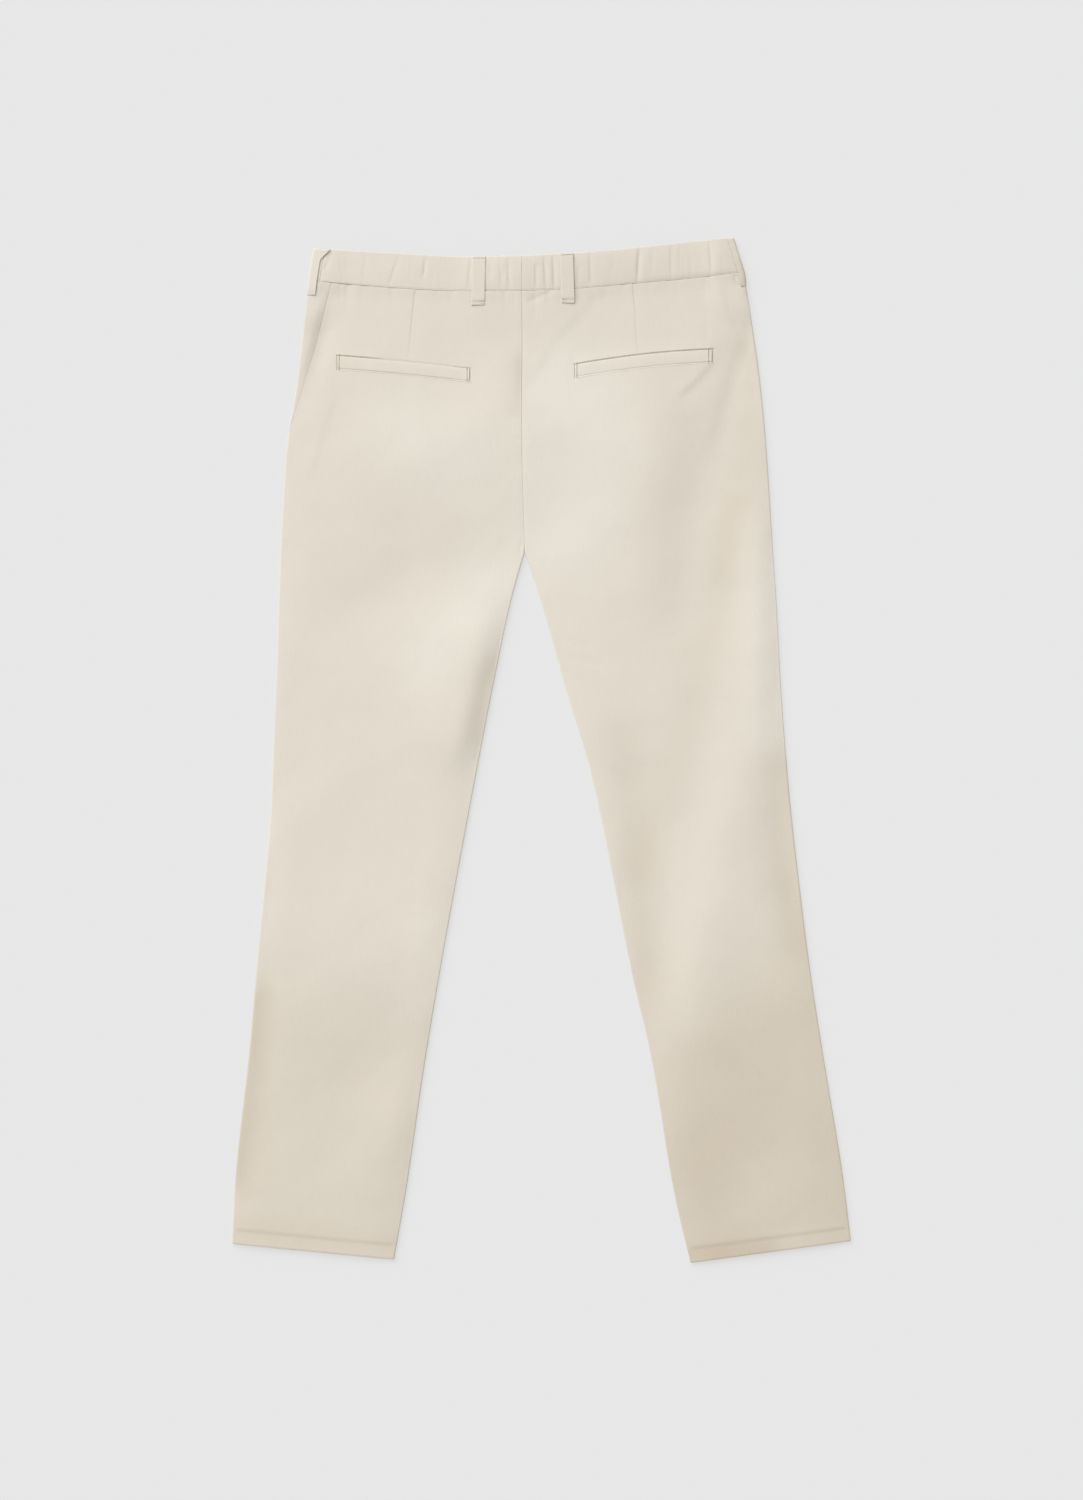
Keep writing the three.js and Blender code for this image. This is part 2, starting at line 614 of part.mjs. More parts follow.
function backLoop({ topX, footX }) {
  const clear = BAND_FACE + GATHER_PUFF + SEAM_GAP;
  const columns = loopAcross.map((across) => (along, depth) => {
    const x = lerp(topX, footX, along) + across * LOOP_WIDTH;
    const centre = lerp(topX, footX, along);
    const seamY = lineHeight(waistSeam, centre);
    const y = lerp(lineHeight(waistTop, centre) - 0.5, seamY - LOOP_FOOT, along);
    const below = smoothstep(seamY - y, 1, 11);
    const onBand = clear + lift(x, y);
    const onPanel = y < seamY ? faceNearWaist(x, y) + SEAM_GAP : onBand;
    const under = lerp(onBand, onPanel, below) + LOOP_ARCH * Math.sin(Math.PI * along);
    return new THREE.Vector3(x, y, under + LOOP_CLOTH - depth);
  });
  return wallGeometry(columns, [0, 0.15, 0.4, 0.7, 0.76, 0.84, 0.92, 1], LOOP_CLOTH);
}

// A loop that goes round the side edge of the band, from one travel along it to another.
function sideLoop(side, underTravel, overTravel) {
  const foot = LOOP_FOOT / section(side, 0).outer.distanceTo(section(side, 1).outer);
  const inside = BAND_RADIUS + SIDE_LOOP_CLEARANCE;
  const arc = BAND_RADIUS * QUARTER_TURN;
  const travels = [
    ...steps(underTravel, -arc, 2),
    ...steps(-arc, arc, 6).slice(1, -1),
    ...steps(arc, overTravel, 2),
  ];
  const columns = travels.map((travel) => (row, depth) => {
    const turn = clamp(travel / BAND_RADIUS, -QUARTER_TURN, QUARTER_TURN);
    const beyond = Math.max(0, Math.abs(travel) - arc);
    const out = inside + LOOP_CLOTH - depth;
    const at = place(side, row, BAND_RADIUS - out * Math.cos(turn) + beyond);
    const puffed = shoulder(beyond) * (BAND_FACE + GATHER_PUFF - 2 * BAND_RADIUS);
    at.z = BAND_RADIUS + out * Math.sin(turn) + (travel > 0 ? puffed : 0) + lift(at.x, at.y);
    return at;
  });
  return wallGeometry(columns, [-0.99, -0.5, -1e-6, foot / 2, foot], LOOP_CLOTH);
}

// The front loops lie on the surface, under the band.
function frontLoop(x) {
  const side = sideAt(x);
  const columns = loopAcross.map((across) => (along, depth) => {
    const inset = Math.abs(x - section(side, -1).outer.x);
    const topY = place(side, -1, inset, true).y;
    const footY = place(side, 0, inset, true).y - LOOP_FOOT;
    return new THREE.Vector3(x + across * LOOP_WIDTH, lerp(topY, footY, along), depth);
  });
  return wallGeometry(columns, [0, 0.5, 1], LOOP_CLOTH);
}

// Back pockets

function welt({ x1, y1, x2, y2, bow }) {
  const rows = steps(0, 1, 12);
  const columns = [0, 0.5, 1].map((down) => (along, depth) => {
    const x = lerp(x1, x2, along);
    const y = lerp(y1, y2, along) + bow * Math.sin(Math.PI * along) - down * WELT_HEIGHT;
    return new THREE.Vector3(x, y, faceNearWaist(x, y) + SEAM_GAP + WELT_CLOTH - depth);
  });
  return wallGeometry(columns, rows, WELT_CLOTH);
}

// Fly

// A strip of the fly inside the fronts, with its lower end rounded.
function flyStrip(centre, width, under) {
  const columns = [-1, -0.5, 0, 0.5, 1].map((across) => (along, depth) => {
    const rounded = Math.sqrt(1 - smoothstep(along, 0.86, 1) ** 2 * 0.9);
    const x = centre + (across * width * rounded) / 2;
    const topY = place(SIDES.left, 0, sectionWidth(SIDES.left, 0), true).y - 1;
    const y = topY - along * FLY_LENGTH;
    return new THREE.Vector3(x, y, under + FLY_CLOTH - depth + lift(x, y));
  });
  return wallGeometry(columns, [0, 0.1, 0.2, 0.35, 0.6, 0.86, 0.92, 0.97, 1], FLY_CLOTH);
}

// Button

const wasm = await Module();
wasm.setup();

function asSolid(geometry) {
  const bare = geometry.clone();
  bare.deleteAttribute('normal');
  bare.deleteAttribute('uv');
  const merged = mergeVertices(bare);
  return new wasm.Manifold(new wasm.Mesh({
    numProp: 3,
    vertProperties: new Float32Array(merged.attributes.position.array),
    triVerts: new Uint32Array(merged.index.array),
  }));
}

function asGeometry(solid) {
  const mesh = solid.getMesh();
  const geometry = new THREE.BufferGeometry();
  geometry.setAttribute('position', new THREE.BufferAttribute(mesh.vertProperties, 3));
  geometry.setIndex(new THREE.BufferAttribute(mesh.triVerts, 1));
  geometry.computeVertexNormals();
  return geometry;
}

// The button lies face down, so its rim and dished face touch the surface.
function button() {
  const profile = [
    [0, 0.5], [5, 0.5], [5.8, 0], [7.4, 0], [BUTTON_RADIUS, 0.5], [BUTTON_RADIUS, 1.4], [7.2, BUTTON_THICKNESS],
    [0, BUTTON_THICKNESS],
  ].map(([x, y]) => new THREE.Vector2(x, y));
  const turned = new THREE.LatheGeometry(profile, 28).rotateX(QUARTER_TURN);
  const holes = [[-1, -1], [-1, 1], [1, -1], [1, 1]].map(([x, y]) => {
    const hole = new THREE.CylinderGeometry(BUTTON_HOLE_RADIUS, BUTTON_HOLE_RADIUS, 3 * BUTTON_THICKNESS, 10);
    return hole.rotateX(QUARTER_TURN).translate(x * BUTTON_HOLE_OFFSET, y * BUTTON_HOLE_OFFSET, 0);
  });
  return asGeometry(holes.reduce((solid, hole) => solid.subtract(asSolid(hole)), asSolid(turned)));
}

// The trousers

const trousers = new THREE.Group();

function add(name, geometry, finish) {
  const mesh = new THREE.Mesh(geometry, new THREE.MeshStandardMaterial(finish));
  mesh.name = name;
  trousers.add(mesh);
  return mesh;
}

for (const [name, side] of Object.entries(SIDES)) {
  add(`back_${name}_panel`, backPanel(side), TWILL);
  add(`front_${name}_panel`, frontPanel(side), TWILL);
  add(`waistband_back_${name}`, backBand(side), TWILL);
  add(`waistband_front_${name}`, frontBand(side, name === 'right'), TWILL);
}
for (const loop of BACK_LOOPS) add(loop.name, backLoop(loop), TWILL_SHADE);
add('side_left_loop', sideLoop(SIDES.left, -3.8, 11.5), TWILL_SHADE);
add('side_right_loop', sideLoop(SIDES.right, -9, 6), TWILL_SHADE);
add('front_left_loop', frontLoop(FRONT_LOOP_XS[0]), TWILL_SHADE);
add('front_right_loop', frontLoop(FRONT_LOOP_XS[1]), TWILL_SHADE);
for (const pocket of WELTS) add(pocket.name, welt(pocket), TWILL_SHADE);
add('fly_zip', flyStrip(FLY_X, ZIP_WIDTH, CLOTH + SEAM_GAP), TAPE);
add('fly_shield', flyStrip(FLY_X, SHIELD_WIDTH, CLOTH + FLY_CLOTH + 2 * SEAM_GAP), TWILL_SHADE);
add('waist_button', button(), HORN).position.set(FLY_X, BUTTON_Y, 0);

export default trousers;
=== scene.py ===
# %% [markdown]
# # Chino trousers laid flat, with the back side up
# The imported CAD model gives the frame: the solids' places and the box that they fill. Every cloth piece is
# made again here as a thin shell on the same sections, with the creases, gathers and sewing that solids
# leave out. Sizes are in millimetres in the tables, as a pattern cutter writes them, and become metres when
# a mesh is made.

# %% Load the frame
import math
import bpy
import numpy as np
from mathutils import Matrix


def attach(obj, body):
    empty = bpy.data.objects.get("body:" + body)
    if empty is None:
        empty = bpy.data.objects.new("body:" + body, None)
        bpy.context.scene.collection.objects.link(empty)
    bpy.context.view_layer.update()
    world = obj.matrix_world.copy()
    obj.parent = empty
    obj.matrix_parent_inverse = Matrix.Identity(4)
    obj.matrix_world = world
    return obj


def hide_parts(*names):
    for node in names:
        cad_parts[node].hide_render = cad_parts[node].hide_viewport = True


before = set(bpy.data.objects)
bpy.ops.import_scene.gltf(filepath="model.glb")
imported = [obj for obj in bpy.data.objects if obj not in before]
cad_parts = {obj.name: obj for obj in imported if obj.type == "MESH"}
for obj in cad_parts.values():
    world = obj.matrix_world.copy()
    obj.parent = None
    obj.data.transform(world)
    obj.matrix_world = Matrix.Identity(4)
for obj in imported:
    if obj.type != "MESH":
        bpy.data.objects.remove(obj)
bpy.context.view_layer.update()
MM = 0.001
scene = bpy.context.scene

# %% [markdown]
# ## Camera
# The photograph looks straight down. A long lens from high above keeps the outline free of perspective, and
# the distance follows from the lens: 1500 pixels of 1.05 mm each fill the 36 mm sensor's long side.

# %% Camera
LENS = 85
SENSOR = 36
FRAME_HEIGHT = 1500 * 1.05 * MM
camera_data = bpy.data.cameras.new("camera")
camera_data.lens = LENS
camera_data.sensor_width = SENSOR
camera = bpy.data.objects.new("camera", camera_data)
camera.location = (0, 0, 0.004 + FRAME_HEIGHT * LENS / SENSOR)
scene.collection.objects.link(camera)
scene.camera = camera
print("camera height:", round(camera.location.z, 3))

# %% [markdown]
# ## Light and floor
# Cloth that lies flat is shaped by light that comes in low: a fold of one millimetre changes the angle by
# only a few degrees. A wide sun lamp from the upper left gives soft shadows, and the pale world fills them.
# The floor is a pale light table, as product photographers use: it glows by itself, so hardly any shadow
# lies on it.

# %% Light and floor
SUN_ELEVATION = math.radians(39)
SUN_FROM = math.radians(126)
SUN_SHARE = 0.52

sun_data = bpy.data.lights.new("key", "SUN")
sun_data.energy = SUN_SHARE * math.pi / math.sin(SUN_ELEVATION)
sun_data.angle = math.radians(58)
sun = bpy.data.objects.new("key", sun_data)
sun.rotation_euler = (math.pi / 2 - SUN_ELEVATION, 0, SUN_FROM + math.pi / 2)
scene.collection.objects.link(sun)

world = bpy.data.worlds.new("studio")
world.use_nodes = True
world.node_tree.nodes["Background"].inputs["Color"].default_value = (1, 1, 1, 1)
world.node_tree.nodes["Background"].inputs["Strength"].default_value = 1 - SUN_SHARE
scene.world = world
scene.view_settings.view_transform = "Standard"

floor_mesh = bpy.data.meshes.new("floor")
FLOOR_REACH = 6
FLOOR_Z = -0.4 * MM
floor_ring = ((-1, -1), (1, -1), (1, 1), (-1, 1))
floor_mesh.from_pydata([(x * FLOOR_REACH, y * FLOOR_REACH, FLOOR_Z) for x, y in floor_ring], [], [(0, 1, 2, 3)])
floor = bpy.data.objects.new("floor", floor_mesh)
scene.collection.objects.link(floor)
FLOOR_TONE = 0.8
FLOOR_GLOW = 0.72
table = bpy.data.materials.new("light_table")
table.use_nodes = True
table_shader = table.node_tree.nodes["Principled BSDF"]
table_shader.inputs["Base Color"].default_value = (*[FLOOR_TONE * (1 - FLOOR_GLOW)] * 3, 1)
table_shader.inputs["Emission Color"].default_value = (1, 1, 1, 1)
table_shader.inputs["Emission Strength"].default_value = FLOOR_TONE * FLOOR_GLOW
table_shader.inputs["Roughness"].default_value = 1
table_shader.inputs["Specular IOR Level"].default_value = 0
floor_mesh.materials.append(table)
print("sun strength:", round(sun_data.energy, 2))

# %% [markdown]
# ## The cut
# A pair of trousers is drafted as sections across the leg: where the outseam is, and where the centre seam
# or inseam is. The tables below are the ones the solids were made from, one row for each section, so that
# the shells lie on their solids. Smooth curves run through the rows.

# %% Sections
OUTSEAMS = {
    "left": [(-244.5, 493), (-251.5, 430), (-257.5, 382.5), (-268, 314.5), (-274.3, 207.5), (-276.4, 153),
             (-279, 73), (-282.2, -0.5), (-285.5, -79), (-297, -200), (-307, -315.5), (-320.5, -436),
             (-325, -518)],
    "right": [(212.5, 501.8), (222.3, 440.5), (230.2, 382.5), (236.5, 314.5), (243.3, 207.5), (247, 153),
              (251.2, 73), (256.5, -0.5), (263.8, -79), (279.5, -210.5), (294.3, -310), (315, -436),
              (325, -515)],
}
INSEAMS = {
    "left": [(-17.6, 207.5), (-33.3, 150.5), (-51.2, 64.5), (-65.4, -9), (-80.6, -90), (-103.2, -214),
             (-122.6, -330), (-140.4, -452), (-154.6, -534.5)],
    "right": [(-17.6, 207.5), (1.3, 150.5), (25.5, 64.5), (48, -9), (66.4, -90), (93.2, -226.5),
              (115.8, -326), (137.8, -457.5), (156.2, -538)],
}
CENTRE_SEAM = [(-20.7, 481.7), (-20.3, 428), (-20.7, 375), (-20.4, 307), (-17.6, 207.5)]
BAND_TOP = [(-239, 526.5), (-205.5, 524.5), (-144.5, 521), (-86, 518), (-20.7, 519), (32, 522), (94, 527),
            (158, 534), (201, 538)]
BAND_SEAM = [(-244.5, 493), (-206, 489.2), (-144.5, 484.2), (-86, 481.6), (-20.7, 481.7), (32, 483.8),
             (94, 489.3), (160, 495.2), (212.5, 501.8)]
FORK_ROW = 4
HEM_ROW = 12
BAND_CENTRE = 4
BAND_HEIGHT = 36.5
# How far apart the sections are just below the waist and just above the hem.
TOP_SPACING = 62
HEM_SPACING = 82
FLY_X = -20.7
GAP = 0.08


def curve_through(rows):
    """A smooth curve through the rows. Its parameter is the row's number, and may be an array."""
    rows = np.array(rows, float)
    padded = np.vstack([2 * rows[0] - rows[1], rows, 2 * rows[-1] - rows[-2]])

    def at(row):
        row = np.asarray(row, float)
        first = np.clip(np.floor(row).astype(int), 0, len(rows) - 2)
        t = (row - first)[..., None]
        before, start, end, after = (padded[first + step] for step in range(4))
        leave, arrive = (end - before) / 2, (after - start) / 2
        return ((2 * start - 2 * end + leave + arrive) * t ** 3
                + (3 * end - 3 * start - 2 * leave - arrive) * t ** 2 + leave * t + start)

    return at


outseams = {name: curve_through(rows) for name, rows in OUTSEAMS.items()}
inseams = {name: curve_through(rows) for name, rows in INSEAMS.items()}
centre_seam = curve_through(CENTRE_SEAM)
band_top, band_seam = curve_through(BAND_TOP), curve_through(BAND_SEAM)
INWARD = {"left": 1, "right": -1}
BAND_END = {"left": 0, "right": len(BAND_TOP) - 1}


# The band's two lines as heights over x, sampled finely once.
BAND_LINES = [line(np.linspace(0, len(BAND_TOP) - 1, 600)) for line in (band_top, band_seam)]


def top_height(x):
    return np.interp(x, BAND_LINES[0][:, 0], BAND_LINES[0][:, 1])


def seam_height(x):
    return np.interp(x, BAND_LINES[1][:, 0], BAND_LINES[1][:, 1])


def smooth(value, low, high):
    t = np.clip((value - low) / (high - low), 0, 1)
    return t * t * (3 - 2 * t)


def mix(a, b, share):
    return a + (b - a) * share


print("legs:", ", ".join(OUTSEAMS), "with", HEM_ROW + 1, "sections each")

# %% [markdown]
# A point on a leg is named as on a pattern: the section it lies on, and how far in from the outseam it is.
# The section's number runs from -1 at the waistband's upper edge through 0 at its seam to 12 at the hem.

# %% Places on the cut
SAMPLED_ROWS = np.concatenate([[-1], np.linspace(0, HEM_ROW, 2401)])


def sample_sections(side):
    """Outer x and y and inner x and y of every section, sampled once. Row -1 is the band's upper edge."""
    rows = SAMPLED_ROWS[1:]
    above = rows <= FORK_ROW
    outer = np.vstack([band_top(BAND_END[side]), outseams[side](rows)])
    below_fork = inseams[side](rows[~above] - FORK_ROW)
    inner = np.vstack([band_top(BAND_CENTRE), centre_seam(rows[above]), below_fork])
    return np.hstack([outer, inner - [INWARD[side] * GAP / 2, 0]]).T


SECTIONS = {side: sample_sections(side) for side in INWARD}


def section(side, row):
    """The outer and inner ends of a section across one side."""
    ends = [np.interp(row, SAMPLED_ROWS, values) for values in SECTIONS[side]]
    return np.stack(ends[:2], axis=-1), np.stack(ends[2:], axis=-1)


def width_of(side, row):
    outer, inner = section(side, row)
    return np.linalg.norm(inner - outer, axis=-1)


def place(side, row, inset, front=False):
    """x and y of the point `inset` mm in from the outer edge, on the section `row`."""
    row, inset = np.broadcast_arrays(np.asarray(row, float), np.asarray(inset, float))
    outer, inner = section(side, row)
    share = inset / np.linalg.norm(inner - outer, axis=-1)
    x, y = np.moveaxis(outer + (inner - outer) * share[..., None], -1, 0)
    waist = np.where(row < 0, 1, np.maximum(0, 1 - row) ** 2)
    on_band = mix(seam_height(x), top_height(x), np.clip(-row, 0, 1))
    top = section(side, 0.0)
    straight = mix(top[0][1], top[1][1], share)
    curved = seam_height(mix(top[0][0], top[1][0], share))
    y = np.where(row < 0, on_band, y + (curved - straight) * waist)
    if front:
        ends = band_seam(np.array([0, len(BAND_SEAM) - 1]))[:, 0]
        y = y - 6 * np.sin(np.pi * np.clip((x - ends[0]) / (ends[1] - ends[0]), 0, 1)) * waist
    return x, y


def find_row(side, x, y, low=-1.0, high=12.0):
    """The section that runs through x, y, found by halving, and the inset there."""
    x, y = np.broadcast_arrays(np.asarray(x, float), np.asarray(y, float))
    low, high = np.full(x.shape, low), np.full(x.shape, high)
    for _ in range(22):
        middle = (low + high) / 2
        below = place(side, middle, inset_at(side, middle, x))[1] > y
        low, high = np.where(below, middle, low), np.where(below, high, middle)
    return low, inset_at(side, low, x)


def inset_at(side, row, x):
    outer, inner = section(side, row)
    return (x - outer[..., 0]) / (inner[..., 0] - outer[..., 0]) * np.linalg.norm(inner - outer, axis=-1)


print("left hem width:", round(float(width_of("left", 12.0)), 1), "mm")

# %% [markdown]
# ## How the cloth lies
# Two layers lie on each other and roll round at the side seams, so the upper face is highest in the middle
# and falls to the rolled edge. On it are broad folds, small creases, seams that sink, and the darts. Each
# fold is a short line through two or more points, with a rise (below 0 for a trough), a width and a lean.
# Real cloth rises softly on one side of a crease and drops on the other: a lean below 0 is steeper on the
# right of a line that runs down the leg.

# %% Folds and creases
EDGE_RADIUS = 2.0
BAND_RADIUS = 2.2
FACE_HEIGHT = 5.4
BAND_FACE = 6.1
SHOULDER = 30

# rise, width, lean, points
BROAD_FOLDS = [
    (4.4, 38, -0.42, [(-64, 98), (-77, 50), (-85, 18)]),
    (-2.2, 42, 0, [(-45, 205), (-120, 182), (-190, 150)]),
    (2.2, 50, 0.15, [(-48, 342), (-110, 322), (-175, 300)]),
    (-0.9, 26, 0, [(-256, 80), (-262, -20)]),
    (-0.8, 36, 0, [(-186, -104), (-226, -134)]),
    (1.3, 46, 0, [(-150, -225), (-232, -245)]),
    (-2.3, 38, 0, [(-166, -326), (-184, -350)]),
    (1.4, 38, 0, [(-150, -395), (-182, -445)]),
    (-1.2, 20, 0, [(-294, -236), (-316, -440)]),
    (-3.6, 44, 0.15, [(206, 396), (180, 320), (164, 240), (156, 150)]),
    (3.8, 38, 0.1, [(240, 215), (235, 140), (220, 34), (191, -110), (176, -200), (162, -290)]),
    (-2.1, 28, 0, [(98, -40), (112, -110), (121, -170), (123, -230)]),
    (2.2, 62, 0, [(24, 344), (100, 318)]),
    (-2.4, 34, 0, [(262, -40), (272, -120), (282, -200)]),
    (-1.0, 44, 0, [(216, -310), (246, -420)]),
]
CREASES = [
    (-0.22, 3, 0, [(173.5, 461), (173.5, 425)]),
    (-0.9, 1.2, 0, [(203, 497), (203.6, 492), (206.5, 488), (211, 487)]),
    (-0.6, 2.6, 0, [(-21.5, 215), (-19.5, 204)]), (-0.4, 3, 0, [(-12, 471), (12, 482)]),
    (-0.3, 1.4, 0, [(-27, 327), (-15, 325)]), (-0.3, 1.4, 0, [(-28, 318), (-18, 316)]),
    (-0.35, 1.5, 0, [(-25, 309), (-13, 308)]), (-0.3, 1.4, 0, [(-27, 299), (-17, 297)]),
    (-0.3, 3.0, 0, [(20, 118), (48, 108)]), (-0.3, 3.0, 0, [(30, 96), (62, 90)]),
]
# Cloth pressed to one side leaves a small step, which drops to the right of a line that runs down the leg.
# drop, half width of the step, reach, points
STEPS = [
    (1.1, 4, 13, [(172, 397), (162, 386), (154, 379)]),
    (0.42, 6.5, 20, [(54, 473), (16, 433), (-8, 395)]),
    (1.2, 10, 26, [(211, 428), (200, 396), (188, 360), (182, 334)]),
    (0.35, 4, 16, [(-222, 352), (-238, 300)]),
    (0.65, 3.6, 13, [(190, 482), (196, 458), (205, 438)]),
    (0.5, 3, 9, [(-223, 500), (-229, 488), (-235, 478)]),
]
# The fronts are hidden: a few shallow hollows where they do not quite touch the surface.
FRONT_FOLDS = [
    (0.9, 30, 0, [(-70, 150), (-150, 60)]),
    (0.7, 26, 0, [(-225, -60), (-240, -260)]),
    (0.8, 34, 0, [(-170, 330), (-90, 300)]),
    (0.9, 32, 0, [(150, 330), (190, 120)]),
    (0.8, 30, 0, [(120, -60), (150, -280)]),
    (0.6, 24, 0, [(40, 180), (70, 60)]),
]
DARTS = {"left": ((-133, 480), (-140, 414)), "right": ((96, 489), (101, 416))}
LIFTS = [
    (FLY_X, 494.5, 494.5, 22, 60, 2.3), (-242, 476, 530, 14, 30, 1.7), (207, 484, 542, 14, 30, 1.7),
]
LIFTS_BELOW = LIFTS + [(-125.7, 462, 522, 10, 30, 1.6), (84.3, 467, 528, 10, 30, 1.6)]
LIFTS_ABOVE = LIFTS + [(-125.7, 462, 522, 12, 90, 0.7), (84.3, 467, 528, 12, 90, 0.7)]


def to_line(x, y, x1, y1, x2, y2):
    """Distance to a line, how far to one side it is (from -1 to 1), and the share of the way along."""
    dx, dy = x2 - x1, y2 - y1
    length2 = dx * dx + dy * dy or 1
    along = np.clip(((x - x1) * dx + (y - y1) * dy) / length2, 0, 1)
    ox, oy = x - x1 - along * dx, y - y1 - along * dy
    away = np.hypot(ox, oy)
    return away, (dx * oy - dy * ox) / (length2 ** 0.5 * away + 1e-6), along


def to_nearest(x, y, points):
    """Distance to the nearest of the lines through the points, and the side of it."""
    nearest, hand = np.full(np.broadcast(x, y).shape, 1e6), 0
    for start, end in zip(points, points[1:]):
        away, side, _ = to_line(x, y, *start, *end)
        hand = np.where(away < nearest, side, hand)
        nearest = np.minimum(nearest, away)
    return nearest, hand


def fold_height(x, y, folds):
    total = np.zeros(np.broadcast(x, y).shape)
    for rise, width, lean, points in folds:
        nearest, hand = to_nearest(x, y, points)
        total += rise * np.exp(-(nearest / (width * (1 + lean * hand))) ** 2)
    return total


def step_height(x, y, steps):
    total = np.zeros(np.broadcast(x, y).shape)
    for drop, half_width, reach, points in steps:
        nearest, hand = to_nearest(x, y, points)
        across = smooth(nearest * hand, -half_width, half_width) - 0.5
        total -= drop * across * np.exp(-(nearest / reach) ** 2)
    return total


def plateau(x, y, centre, y1, y2, radius, fade, rise):
    return rise * (1 - smooth(to_line(x, y, centre, y1, centre, y2)[0], radius, radius + fade))


def lift(x, y):
    """How far the front is held up by what lies under it."""
    return sum(plateau(x, y, *row) for row in LIFTS_BELOW)


def lift_above(x, y):
    """The same for the upper face, which the cloth between them evens out."""
    return sum(plateau(x, y, *row) for row in LIFTS_ABOVE)


def shoulder(inset):
    return 1 - (1 - np.clip(inset / SHOULDER, 0, 1)) ** 2


def seam_travel(side, row):
    """How far over the rolled edge the side seam lies, along the cloth. It shows at the left hip."""
    if side == "right":
        return np.zeros(np.shape(row))
    return np.where(np.asarray(row) < 0, 13, 25 * np.maximum(0, 1 - np.asarray(row) / 3))


waves = np.random.default_rng(7)
WAVE_LENGTHS = waves.uniform(22, 95, 34)
WAVE_HEADINGS = waves.uniform(0, 2 * np.pi, 34)
WAVE_STARTS = waves.uniform(0, 2 * np.pi, 34)


def undulation(x, y):
    """The slight unevenness of washed cotton, as long shallow waves in all directions."""
    total = np.zeros(np.broadcast(x, y).shape)
    for length, heading, start in zip(WAVE_LENGTHS, WAVE_HEADINGS, WAVE_STARTS):
        total += length * np.sin((x * np.cos(heading) + y * np.sin(heading)) * 2 * np.pi / length + start)
    return total / len(WAVE_LENGTHS) ** 0.5 * 0.0028


print(len(BROAD_FOLDS), "broad folds and", len(CREASES), "creases")

# %% [markdown]
# The back pockets are cut into the panels. The mouth is a slit, and the welt fills it from below: the cloth
# above it bags a little and rolls over into the dark line, and the welt's own strip sits in a shallow
# recess.

# %% Pocket mouths and the upper face
WELTS = {"left": ((-214, 413.5), (-75.5, 400), 1.0), "right": ((35.5, 404.5), (179, 420.5), 2.4)}
WELT_HEIGHT = 13


def mouth_line(side, x):
    """The height of the pocket mouth's line at x, carried on level past its ends."""
    (x1, y1), (x2, y2), bow = WELTS[side]
    along = np.clip((x - x1) / (x2 - x1), 0, 1)
    return mix(y1, y2, along) + bow * np.sin(np.pi * along)


def mouth_relief(side, x, y):
    (x1, _), (x2, _), _ = WELTS[side]
    above = y - mouth_line(side, x)
    inside = smooth(x, x1 - 1.5, x1 + 1.5) * (1 - smooth(x, x2 - 1.5, x2 + 1.5))
    shut = smooth(x, -180, -164) * (1 - 0.5 * smooth(x, -100, -88)) if side == "left" else 0
    gape = smooth(x, 36, 50) if side == "right" else 1 - smooth(x, -186, -172)
    bag = mix(0.5, 0.08, shut) * np.exp(-(np.maximum(above, 0) / 8) ** 2)
    roll = -(mix(1.7, 0.1, shut) + 0.6 * gape) * np.clip(1 - above / (1.2 + 0.7 * gape), 0, 1) ** 2.2
    recess = -mix(0.4, 0.22, shut) * smooth(above, -WELT_HEIGHT - 0.6, -WELT_HEIGHT + 0.6)
    return inside * np.where(above > 0, bag + roll, recess)


def dart_relief(side, x, y):
    (x1, y1), (x2, y2) = DARTS[side]
    away, hand, along = to_line(x, y, x1, y1, x2, y2)
    fade = (1 - 0.6 * along) * np.exp(-(away / 9) ** 2) * (1 - smooth(y1 - y, y1 - y2 - 4, y1 - y2 + 6))
    return fade * (-0.42 * smooth(away * hand, -0.7, 0.7) - 0.25 * np.exp(-(away / 0.9) ** 2))


def seam_dip(side, row, outer_inset, inner_inset):
    """The centre seam sinks, more so on its left at the seat. The front's strip falls to the hip seam."""
    row = np.asarray(row)
    centre = np.where(row < FORK_ROW, 0.22 * np.exp(-(inner_inset / 3) ** 2), 0)
    if side == "right":
        return centre
    centre = centre + 1.15 * np.exp(-((row - 1.72) / 0.5) ** 4) * np.exp(-(inner_inset / 5.5) ** 2)
    travel = seam_travel(side, row)
    past = outer_inset - travel
    trough = np.exp(-(past / np.where(past < 0, 6.5, 16)) ** 2) * mix(0.2, 1, smooth(row, 0.02, 0.3))
    return centre + trough * smooth(travel, 2, 8) * (0.7 + 2.4 * np.exp(-((row - 1.15) / 0.95) ** 2))


# Short gathers that run down from the waistband's seam: x, depth, length, width and drift.
seeds = np.random.default_rng(19)
PUCKER_COUNT = 64
PUCKER_RANGES = [(-232, 208), (0.05, 0.32), (6, 24), (1.6, 3.4), (-0.12, 0.12)]
PUCKERS = [seeds.uniform(low, high, PUCKER_COUNT) for low, high in PUCKER_RANGES]
PUCKERS = list(zip(np.sort(PUCKERS[0]), *PUCKERS[1:]))


def puckers(x, below):
    total = np.zeros(np.broadcast(x, below).shape)
    for at, depth, length, width, drift in PUCKERS:
        aside = x - at - drift * below
        total -= depth * np.exp(-(aside / np.where(aside < 0, 0.6 * width, 2 * width)) ** 2) * np.exp(
            -(below / length) ** 2)
    return total


HEM_DEPTH = 15.5


